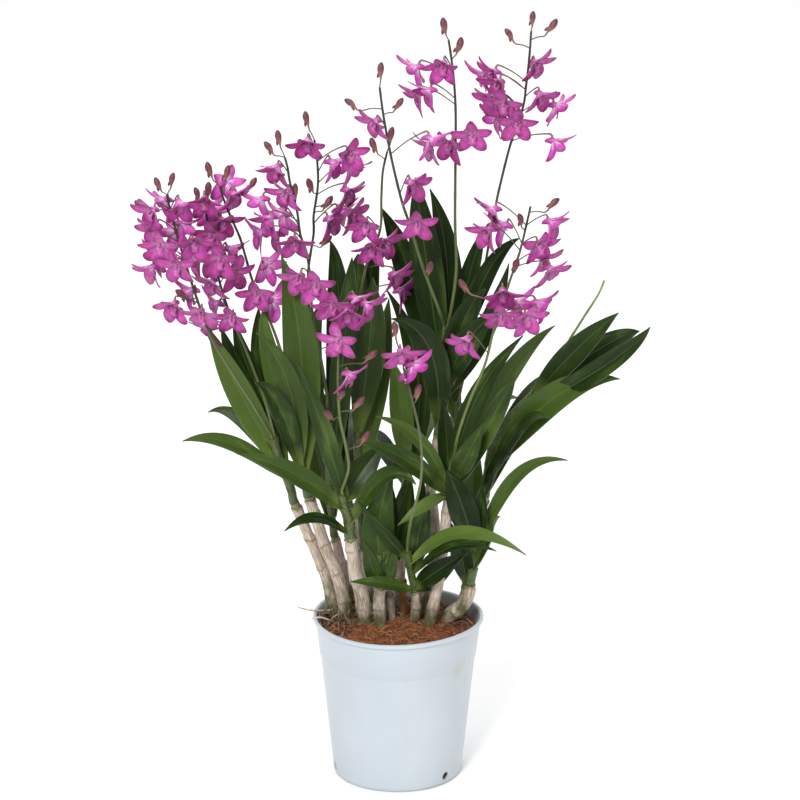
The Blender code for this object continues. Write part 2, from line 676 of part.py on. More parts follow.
def leaf(name, base, middle, tip, width, turn):
    """A blade: a thin arched loft, folded along its midrib and drawn out to a point."""
    draw = random.Random(name)
    bend = 2 * middle - (base + tip) / 2
    twist = math.radians(draw.uniform(-LEAF_TWIST, LEAF_TWIST))
    slant = math.radians(turn)
    face = Vector((0.0, -math.cos(slant), math.sin(slant)))
    bm = bmesh.new()
    rings = []
    for s in NARROW_ROWS if width < NARROW_WIDTH else LEAF_ROWS:
        place = base * (1 - s) ** 2 + bend * 2 * s * (1 - s) + tip * s ** 2
        along = ((bend - base) * (1 - s) + (tip - bend) * s).normalized()
        normal = (face - along * face.dot(along)).normalized()
        normal.rotate(Matrix.Rotation(twist * s, 3, along))
        across = along.cross(normal)
        half = width / 2 * max(0.26, math.sin(math.pi * min(1.0, s + 0.06) ** 0.86))
        edge = normal * LEAF_FOLD * half * 2
        rib = normal * LEAF_THICKNESS * (0.5 - 0.15 * s)
        corners = (place - across * half + edge, place + rib, place + across * half + edge, place - rib)
        rings.append([bm.verts.new(corner) for corner in corners])
    point = bm.verts.new(tip)
    bm.faces.new(rings[0])
    for near, far in zip(rings, rings[1:]):
        for side in range(4):
            other = (side + 1) % 4
            margin, rib = (side, other) if side % 2 == 0 else (other, side)
            bm.faces.new((near[margin], near[rib], far[rib]))
            bm.faces.new((near[margin], far[rib], far[margin]))
    for side in range(4):
        bm.faces.new((rings[-1][side], rings[-1][(side + 1) % 4], point))
    return mesh_from(bm, name)


def carry(bm, face, heading, stops):
    """Extrudes a face from stop to stop, each a centre, a heading and a radius."""
    for centre, onward, radius in stops:
        middle = face.calc_center_median()
        swing = heading.rotation_difference(onward).to_matrix()
        spokes = [swing @ (vert.co - middle).normalized() for vert in face.verts]
        made = bmesh.ops.extrude_discrete_faces(bm, faces=[face])["faces"]
        face = made[0]
        for vert, spoke in zip(face.verts, spokes):
            vert.co = centre + spoke * radius
        heading = onward
    return face


def flower(name, anchor, centre, facing):
    """A bloom: five tepals and a lip drawn out of a five-sided hub, and the stalk that carries it."""
    forward = facing.normalized()
    right = forward.cross(UP).normalized()
    upright = right.cross(forward)
    frame = Matrix((right, upright, forward)).transposed()
    bm = bmesh.new()
    bmesh.ops.create_cone(
        bm, cap_ends=True, segments=len(TEPALS), radius1=HUB_RADIUS * HUB_TAPER, radius2=HUB_RADIUS,
        depth=HUB_DEPTH, matrix=Matrix.Rotation(math.radians(HUB_TURN), 4, "Z"),
    )
    sides = [side for side in bm.faces if abs(side.normal.z) < 0.7]
    back = min(bm.faces, key=lambda side: side.calc_center_median().z)
    front = max(bm.faces, key=lambda side: side.calc_center_median().z)
    lip = bmesh.ops.extrude_discrete_faces(bm, faces=[front])["faces"][0]
    bmesh.ops.pointmerge(bm, verts=lip.verts, merge_co=Vector((0.0, -LIP_DROP, HUB_DEPTH / 2 + LIP_LENGTH)))
    for side in sides:
        middle = side.calc_center_median()
        angle = round(math.degrees(math.atan2(middle.y, middle.x))) % 360
        length, width, lift, tip_lift = TEPALS[angle]
        outward = Vector((middle.x, middle.y, 0.0)).normalized()
        across = Vector((-outward.y, outward.x, 0.0))
        belly = bmesh.ops.extrude_discrete_faces(bm, faces=[side])["faces"][0]
        normal = Vector((0.0, 0.0, 1.0))
        for vert in belly.verts:
            sideways = math.copysign(width / 2, vert.co.dot(across))
            above = math.copysign(TEPAL_THICKNESS / 2, vert.co.z)
            vert.co = outward * length * TEPAL_WIDEST + across * sideways + normal * (lift + above)
        end = bmesh.ops.extrude_discrete_faces(bm, faces=[belly])["faces"][0]
        bmesh.ops.pointmerge(bm, verts=end.verts, merge_co=outward * length + normal * tip_lift)
    bmesh.ops.transform(bm, matrix=Matrix.Translation(centre) @ frame.to_4x4(), verts=bm.verts)
    behind = centre - forward * HUB_DEPTH
    carry(bm, back, -forward, [(anchor, (anchor - behind).normalized(), PEDICEL_RADIUS * PEDICEL_TAPER)])
    return mesh_from(bm, name)


def bud(name, anchor, centre):
    """A closed bud on its short stalk."""
    rise = (centre - anchor).normalized()
    axis = (rise + UP * BUD_RISE).normalized()
    neck = centre - axis * BUD_LENGTH * 0.5
    slim = PEDICEL_RADIUS * PEDICEL_TAPER
    bm = bmesh.new()
    bmesh.ops.create_cone(
        bm, cap_ends=True, segments=4, radius1=slim, radius2=slim, depth=PEDICEL_RADIUS,
    )
    front = max(bm.faces, key=lambda side: side.calc_center_median().z)
    start = (neck - anchor).normalized()
    aim = UP.rotation_difference(start).to_matrix().to_4x4()
    bmesh.ops.transform(bm, matrix=Matrix.Translation(anchor) @ aim, verts=bm.verts)
    stops = [
        (neck, axis, PEDICEL_RADIUS * 1.2),
        (centre, axis, BUD_RADIUS),
        (centre + axis * BUD_LENGTH * 0.5, axis, BUD_RADIUS * 0.4),
    ]
    carry(bm, front, start, stops)
    return mesh_from(bm, name)


def cane_radii(points, radius):
    """Radii that swell at each joint of a cane and taper to its top."""
    last = len(points) - 1
    return [
        radius * (1.0 - CANE_TAPER * number / last) * (1.0 if number % 2 else JOINT_SWELL)
        for number in range(last + 1)
    ]


def buried(x, y, onward):
    """The foot of a shaft below the medium, nearly in line with its way up."""
    top = Vector((x, y, soil_height(x, y)))
    lean = ((onward - top).normalized() + UP).normalized()
    return top - lean * HOLE_DEPTH


def build_stem(name, plan, group, shafts, tops):
    """A cane standing in the medium, and the leafy green top that it carries."""
    knots = [seen(*knot) for knot in plan["cane"]]
    foot = buried(*plan["foot"], knots[0])
    cane_points = smooth_route([foot, *knots], CANE_STEP)
    radii = cane_radii(cane_points, plan["cane_radius"])
    root = []
    if name == "left_outer":
        root_points = smooth_route([seen(*knot) for knot in ROOT_KNOTS], ROOT_STEP)
        root = [tube("root", root_points, [ROOT_RADIUS] * len(root_points), 1)]
    place_part(f"cane_{name}", fuse(name, tube("cane", cane_points, radii, 1), root), "cane", group)
    shafts.append(shaft(cane_points, radii))

    joint = cane_points[-1]
    heading = (joint - cane_points[-2]).normalized()
    route = smooth_route([joint + heading * 2.0, *(seen(*knot) for knot in plan["top"])], TOP_STEP)
    top_points = [joint + heading * GAP, *route]
    start = radii[-1] * TOP_SHARE
    last = len(top_points) - 1
    slim = [start + (TOP_RADIUS - start) * number / last for number in range(last + 1)]
    leaves = []
    for number, (share, middle, tip, width, turn) in enumerate(plan["leaves"]):
        base, along = station(top_points, share)
        middle = seen(*middle)
        outward = middle - base
        outward = (outward - along * outward.dot(along)).normalized()
        base += outward * LEAF_SEAT
        leaves.append(leaf(f"leaf_{name}_{number}", base, middle, seen(*tip), width, turn))
    place_part(f"leafy_top_{name}", fuse(name, tube("stem", top_points, slim, 1), leaves), "leaf", group)
    tops[name] = (top_points[-1], (top_points[-1] - top_points[-2]).normalized())


def shaft(points, radii):
    """The lowest stretch of a stem, widened and deepened into the cutter of its hole."""
    sink = (points[0] - points[1]).normalized()
    wide = [radius + HOLE_CLEARANCE for radius in radii[:HOLE_SECTIONS]]
    return [points[0] + sink * GAP, *points[1:HOLE_SECTIONS]], wide


def build_stump(name, plan, group, shafts):
    """The papery stump of an old cane."""
    (x, y), tip, radius = plan
    tip = seen(*tip)
    points = smooth_route([buried(x, y, tip), tip], STUMP_STEP)
    last = len(points) - 1
    radii = [radius * (1.0 - STUMP_TAPER * (number / last) ** 2) for number in range(last + 1)]
    place_part(f"stump_{name}", tube("stump", points, radii, 1), "stump", group)
    shafts.append(shaft(points, radii))


def build_spray(name, plan, group, tops):
    """A flower stalk with its blooms and buds, standing on a leafy top."""
    draw = random.Random(name)
    crown, heading = tops[plan["on"]]
    across = heading.cross(FRONT).normalized()
    behind = heading.cross(across)
    foot = crown + heading * GAP + across * plan["seat"][0] + behind * plan["seat"][1]
    route = smooth_route([foot + heading * 3.0, *(seen(*knot) for knot in plan["stalk"])], STALK_STEP)
    points = [foot, *route]
    last = len(points) - 1
    radii = [STALK_RADIUS * (1.15 - 0.3 * number / last) for number in range(last + 1)]
    depths = smooth_route([Vector((knot[0], knot[2], knot[1])) for knot in plan["stalk"]], 6.0)

    def depth_near(x, z):
        return min(depths, key=lambda spot: (spot.x - x) ** 2 + (spot.z - z) ** 2).y

    def anchor_for(centre, hang):
        spots = [station(points, 0.02 * step)[0] for step in range(10, 51)]
        goal = centre - UP * hang
        return min(spots, key=lambda spot: (spot - goal).length)

    pieces = []
    for number, (x, z, off) in enumerate(plan["flowers"]):
        centre = seen(x, z, depth_near(x, z) + off)
        anchor = anchor_for(centre, BLOOM_HANG)
        away = centre - anchor
        away.z = 0.0
        facing = away.normalized() + BLOOM_LEAN
        swing = math.radians(draw.uniform(-BLOOM_SWING, BLOOM_SWING))
        facing.rotate(Matrix.Rotation(swing, 3, "Z"))
        pieces.append(flower(f"flower_{name}_{number}", anchor, centre, facing))
    for number, (x, z, off) in enumerate(plan["buds"]):
        centre = seen(x, z, depth_near(x, z) + off)
        pieces.append(bud(f"bud_{name}_{number}", anchor_for(centre, BUD_HANG), centre))
    colour = "petal" if plan["flowers"] else "young"
    place_part(f"spray_{name}", fuse(name, tube("stalk", points, radii, 0), pieces), colour, group)


def build():
    """The whole plant in its pot."""
    clear_scene()
    group = new_collection("potted_orchid")
    cutters = new_collection("cutters")
    shafts = []
    tops = {}
    for name, plan in STEMS.items():
        build_stem(name, plan, group, shafts, tops)
    for name, plan in STUMPS.items():
        build_stump(name, plan, group, shafts)
    for name, plan in SPRAYS.items():
        build_spray(name, plan, group, tops)
    build_medium(group, cutters, shafts)
    build_pot(group, cutters)


build()
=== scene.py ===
# %% [markdown]
# # A pink rock orchid in its pot
# The plant is a small dendrobium: papery canes stand in coir and bark in a pale nursery pot, each cane ends
# in a leafy top, and thin stalks rise from the tops with magenta flowers. The solid model gives every piece
# its place. This lesson dresses it: thin veined leaves, curved petals, papery sheaths, loose fibre and a
# moulded pot. It also adds leaves and blooms that the solid model has no room for. Lengths are in
# millimetres until a piece is finished, because petals and fibres are small.

# %% Load the solid model
import json
import math
import random

import bmesh
import bpy
from mathutils import Matrix, Vector, noise

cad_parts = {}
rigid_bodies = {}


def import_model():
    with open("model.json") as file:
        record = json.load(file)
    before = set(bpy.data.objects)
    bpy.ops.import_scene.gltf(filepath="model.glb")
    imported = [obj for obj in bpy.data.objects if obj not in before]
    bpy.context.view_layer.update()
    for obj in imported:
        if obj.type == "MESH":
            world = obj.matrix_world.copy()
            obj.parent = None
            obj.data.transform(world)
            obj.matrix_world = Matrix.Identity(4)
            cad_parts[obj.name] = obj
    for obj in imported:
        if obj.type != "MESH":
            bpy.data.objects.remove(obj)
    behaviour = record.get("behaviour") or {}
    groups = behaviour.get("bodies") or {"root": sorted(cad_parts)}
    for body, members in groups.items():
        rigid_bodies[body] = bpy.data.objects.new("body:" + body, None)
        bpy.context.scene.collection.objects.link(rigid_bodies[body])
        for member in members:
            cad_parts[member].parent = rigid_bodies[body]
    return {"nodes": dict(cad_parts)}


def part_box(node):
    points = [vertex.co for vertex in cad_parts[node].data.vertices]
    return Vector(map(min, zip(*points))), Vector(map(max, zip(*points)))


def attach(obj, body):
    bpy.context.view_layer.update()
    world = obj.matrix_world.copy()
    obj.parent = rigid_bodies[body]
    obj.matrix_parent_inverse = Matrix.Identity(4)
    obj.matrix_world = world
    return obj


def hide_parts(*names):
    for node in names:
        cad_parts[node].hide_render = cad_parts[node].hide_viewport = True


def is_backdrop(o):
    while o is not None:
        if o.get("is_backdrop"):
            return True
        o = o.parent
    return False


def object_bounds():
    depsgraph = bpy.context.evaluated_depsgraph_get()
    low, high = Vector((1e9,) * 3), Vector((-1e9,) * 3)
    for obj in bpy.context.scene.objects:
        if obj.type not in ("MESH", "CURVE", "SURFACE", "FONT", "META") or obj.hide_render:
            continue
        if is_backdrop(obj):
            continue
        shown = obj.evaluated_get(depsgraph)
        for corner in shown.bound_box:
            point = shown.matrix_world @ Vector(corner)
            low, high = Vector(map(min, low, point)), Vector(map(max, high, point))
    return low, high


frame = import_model()
solid_box = [list(corner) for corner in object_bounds()]
print("nodes in the solid model:", len(frame["nodes"]))

# %% [markdown]
# The photograph was taken from a little above, with a long lens and the camera level from side to side. The
# camera comes first, because every later choice is judged through it: 2.12 m in front of the pot, 0.94 m up,
# looking down 17.4 degrees. The small shift sets the pot a little left of the middle, as in the photograph.

# %% The camera
EYE_DISTANCE = 2120.0
EYE_HEIGHT = 939.0
LOOK_DOWN = 17.4
SENSOR = 36.0
LENS = 144.9
SHIFT = 0.003
MM = 0.001

lens = bpy.data.cameras.new("camera")
lens.sensor_width = SENSOR
lens.lens = LENS
lens.shift_x = SHIFT
camera = bpy.data.objects.new("camera", lens)
camera.location = (0.0, -EYE_DISTANCE * MM, EYE_HEIGHT * MM)
camera.rotation_euler = (math.radians(90.0 - LOOK_DOWN), 0.0, 0.0)
bpy.context.scene.collection.objects.link(camera)
bpy.context.scene.camera = camera
print("camera at", tuple(camera.location))

# %% [markdown]
# The photograph has a bright white ground and light from all round, a little stronger from the upper left. A
# plain pale floor, a pale sky and two soft lamps in front give the same, with no hard shadows on the petals.
# A third, very wide lamp hangs behind the plant and mostly whitens the floor there.

# %% The floor and the light
FLOOR_SIZE = 12.0
FLOOR_COLOUR = (0.88, 0.88, 0.88, 1.0)
FLOOR_ROUGHNESS = 0.9
SKY_STRENGTH = 0.5
LAMPS = {
    "key": ((-0.7, -2.1, 1.9), (0.0, 0.0, 0.3), 0.8, 60.0),
    "fill": ((1.5, -1.6, 1.1), (0.0, 0.0, 0.3), 1.6, 8.0),
    "floor_wash": ((0.0, 1.6, 3.0), (0.0, 1.6, 0.0), 4.0, 100.0),
}


def soft_lamp(name, place, aim, size, power):
    """A square soft lamp that looks at a point."""
    light = bpy.data.lights.new(name, "AREA")
    light.shape = "SQUARE"
    light.size = size
    light.energy = power
    lamp = bpy.data.objects.new(name, light)
    lamp.location = place
    lamp.rotation_euler = (Vector(aim) - Vector(place)).to_track_quat("-Z", "Y").to_euler()
    bpy.context.scene.collection.objects.link(lamp)


bm = bmesh.new()
bmesh.ops.create_grid(bm, x_segments=1, y_segments=1, size=FLOOR_SIZE / 2)
floor_mesh = bpy.data.meshes.new("floor")
bm.to_mesh(floor_mesh)
bm.free()
floor = bpy.data.objects.new("floor", floor_mesh)
bpy.context.scene.collection.objects.link(floor)
floor_finish = bpy.data.materials.new("pale_floor")
floor_finish.use_nodes = True
floor_shader = floor_finish.node_tree.nodes["Principled BSDF"]
floor_shader.inputs["Base Color"].default_value = FLOOR_COLOUR
floor_shader.inputs["Roughness"].default_value = FLOOR_ROUGHNESS
floor_mesh.materials.append(floor_finish)
floor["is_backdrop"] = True

sky = bpy.data.worlds.new("sky")
sky.use_nodes = True
sky.node_tree.nodes["Background"].inputs["Color"].default_value = (1.0, 1.0, 1.0, 1.0)
sky.node_tree.nodes["Background"].inputs["Strength"].default_value = SKY_STRENGTH
bpy.context.scene.world = sky
bpy.context.scene.view_settings.view_transform = "Standard"
for name, (place, aim, size, power) in LAMPS.items():
    soft_lamp(name, place, aim, size, power)
print("floor", FLOOR_SIZE, "m wide; lamps:", *LAMPS)

# %% [markdown]
# Nearly everything on a plant is a strip or a sleeve that has been bent. So one helper lays a flat grid of
# faces and moves each of its points to where a rule says, and may then thicken it. It works in a small shape
# of its own, which it then adds to the whole, because that is quicker than working in a large one. A second
# helper uses it to wrap a round stem along a route. Each point also keeps three notes: how far along its
# strip it lies, how far across, and a shade that is its strip's own. The finishes read those notes, so veins
# follow each leaf.

# %% Strips and sleeves
NOTES = ("along", "across", "shade")
JOIN = 0.002
SHARP = 50.0


def new_shape():
    """An empty shape whose points can keep notes."""
    bm = bmesh.new()
    for label in NOTES:
        bm.verts.layers.float.new(label)
    return bm


def lay_grid(whole, columns, rows, place, shade=0.5, thickness=0.0, closed=False, slot=0, under=None):
    """Adds a grid of faces, each point where place(u, v) says, u across and v along from 0 to 1."""
    bm = new_shape()
    notes = [bm.verts.layers.float[label] for label in NOTES]
    made = bmesh.ops.create_grid(bm, x_segments=columns, y_segments=rows, size=0.5)["verts"]
    for face in bm.faces:
        face.material_index = slot
        face.smooth = True
    for vert in made:
        u = vert.co.x + 0.5
        v = vert.co.y + 0.5
        vert.co = place(u, v)
        vert[notes[0]] = v
        vert[notes[1]] = abs(2.0 * u - 1.0) if closed else u
        vert[notes[2]] = shade
    if closed:
        bmesh.ops.remove_doubles(bm, verts=bm.verts, dist=JOIN)
    if thickness:
        kept = list(bm.faces)
        bm.normal_update()
        sunk = [(vert, vert.normal.copy()) for vert in bm.verts]
        bmesh.ops.extrude_face_region(bm, geom=kept, use_keep_orig=True)
        bmesh.ops.reverse_faces(bm, faces=kept)
        for vert, normal in sunk:
            vert.co -= normal * thickness
        if under is not None:
            for face in kept:
                face.material_index = under
    carrier = bpy.data.meshes.new("carrier")
    bm.to_mesh(carrier)
    bm.free()
    whole.from_mesh(carrier)
    bpy.data.meshes.remove(carrier)


def smooth_route(knots, spacing):
    """Points about `spacing` apart on a smooth curve through the knots."""
    ends = [2 * knots[0] - knots[1], *knots, 2 * knots[-1] - knots[-2]]
    points = [knots[0]]
    for before, start, stop, after in zip(ends, ends[1:], ends[2:], ends[3:]):
        steps = max(1, round((stop - start).length / spacing))
        lead = (stop - before) / 2
        trail = (after - start) / 2
        for step in range(1, steps + 1):
            t = step / steps
            points.append(
                start * (2 * t ** 3 - 3 * t ** 2 + 1) + lead * (t ** 3 - 2 * t ** 2 + t)
                + stop * (3 * t ** 2 - 2 * t ** 3) + trail * (t ** 3 - t ** 2)
            )
    return points


def carried_frames(route):
    """A side and a lift direction at each point of a route, turned no more than the route turns."""
    frames = []
    side = (route[1] - route[0]).orthogonal().normalized()
    for number in range(len(route)):
        ahead = route[min(number + 1, len(route) - 1)] - route[max(number - 1, 0)]
        ahead.normalize()
        side = (side - ahead * side.dot(ahead)).normalized()
        frames.append((side, ahead.cross(side)))
    return frames


def lay_tube(bm, route, girths, sides, shade=0.5, slot=0):
    """Wraps a closed round stem along a route, with a radius at each of its points."""
    frames = carried_frames(route)
    spots = [route[0], *route, route[-1]]
    girths = [0.0, *girths, 0.0]
    frames = [frames[0], *frames, frames[-1]]
    last = len(spots) - 1

    def place(u, v):
        number = round(v * last)
        side, lift = frames[number]
        angle = 2.0 * math.pi * u
        return spots[number] + (side * math.cos(angle) + lift * math.sin(angle)) * girths[number]

    lay_grid(bm, sides, last, place, shade, closed=True, slot=slot)


def finish_piece(bm, name, finishes, slot, *nodes):
    """Turns a shape into a finished piece, in metres, that stands for the named solids."""
    bmesh.ops.scale(bm, vec=(MM, MM, MM), verts=bm.verts)
    mesh = bpy.data.meshes.new(name)
    bm.to_mesh(mesh)
    bm.free()
    for finish in finishes:
        mesh.materials.append(finish)
    mesh.set_sharp_from_angle(angle=math.radians(SHARP))
    piece = bpy.data.objects.new(name, mesh)
    bpy.context.scene.collection.objects.link(piece)
    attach(piece, "root")
    if nodes:
        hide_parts(*nodes)
    return piece


def triangles(piece):
    """How many triangles a piece has."""
    return sum(len(face.vertices) - 2 for face in piece.data.polygons)


print("helpers ready; each point keeps the notes", NOTES)

# %% [markdown]
# The solid model reads the front view on the pot's middle plane: each place is how far right and how high it
# looks from the front, and then its depth. These small rules turn such a place into a point in space, and
# give the pot's wall and the mound of the medium. They are the same rules as in the solid model, so the fine
# pieces stay where the solid ones are.

# %% Places
GAP = 0.3
UP = Vector((0.0, 0.0, 1.0))
FRONT = Vector((0.0, -1.0, 0.0))
POT_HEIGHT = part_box("pot")[1][2] / MM
RIM_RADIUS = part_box("pot")[1][0] / MM
BASE_RADIUS = 45.5
WALL = 1.3
FLOOR_THICKNESS = 2.4
RING_HEIGHT = 88.0
RING_OUT = 0.6
LIP_OUT = 1.8
SOIL_EDGE = 107.0
SOIL_DOME = 6.0
SOIL_ROUGHNESS = 1.5
SOIL_LUMP = 9.0
FOOT_DEPTH = 11.0


def seen(x, z, y):
    """The point at depth y that looks from the front to be at x and z on the middle plane."""
    reach = 1.0 + y / EYE_DISTANCE
    return Vector((x * reach, y, EYE_HEIGHT + (z - EYE_HEIGHT) * reach))


def station(points, share):
    """The point a share of the way along a route, and the route's direction there."""
    place = share * (len(points) - 1)
    first = min(int(place), len(points) - 2)
    step = points[first + 1] - points[first]
    return points[first] + step * (place - first), step.normalized()


def wall_radius(height):
    """Radius of the pot's outer wall at a height."""
    slope = (RIM_RADIUS - LIP_OUT - RING_OUT - BASE_RADIUS) / POT_HEIGHT
    stepped = RING_OUT if height > RING_HEIGHT else 0.0
    return BASE_RADIUS + slope * height + stepped


def soil_height(x, y):
    """Height of the medium's uneven mound."""
    inner = wall_radius(SOIL_EDGE) - WALL
    dome = SOIL_DOME * max(0.0, 1.0 - (x * x + y * y) / inner ** 2)
    return SOIL_EDGE + dome + SOIL_ROUGHNESS * noise.noise(Vector((x, y, 0.0)) / SOIL_LUMP)


def buried(x, y, onward):
    """The foot of a stem below the medium, nearly in line with its way up."""
    top = Vector((x, y, soil_height(x, y)))
    lean = ((onward - top).normalized() + UP).normalized()
    return top - lean * FOOT_DEPTH


print("the mound is", round(soil_height(0.0, 0.0), 1), "mm high in the middle")
print("the rim is", round(POT_HEIGHT, 1), "mm high")

# %% [markdown]
# This is the plan of the plant. For each stem: where its foot stands, the way of its cane and of its leafy
# top, and its leaves. A leaf is its station along the top, its middle, its tip, its width and how many
# degrees its face turns to the sky.

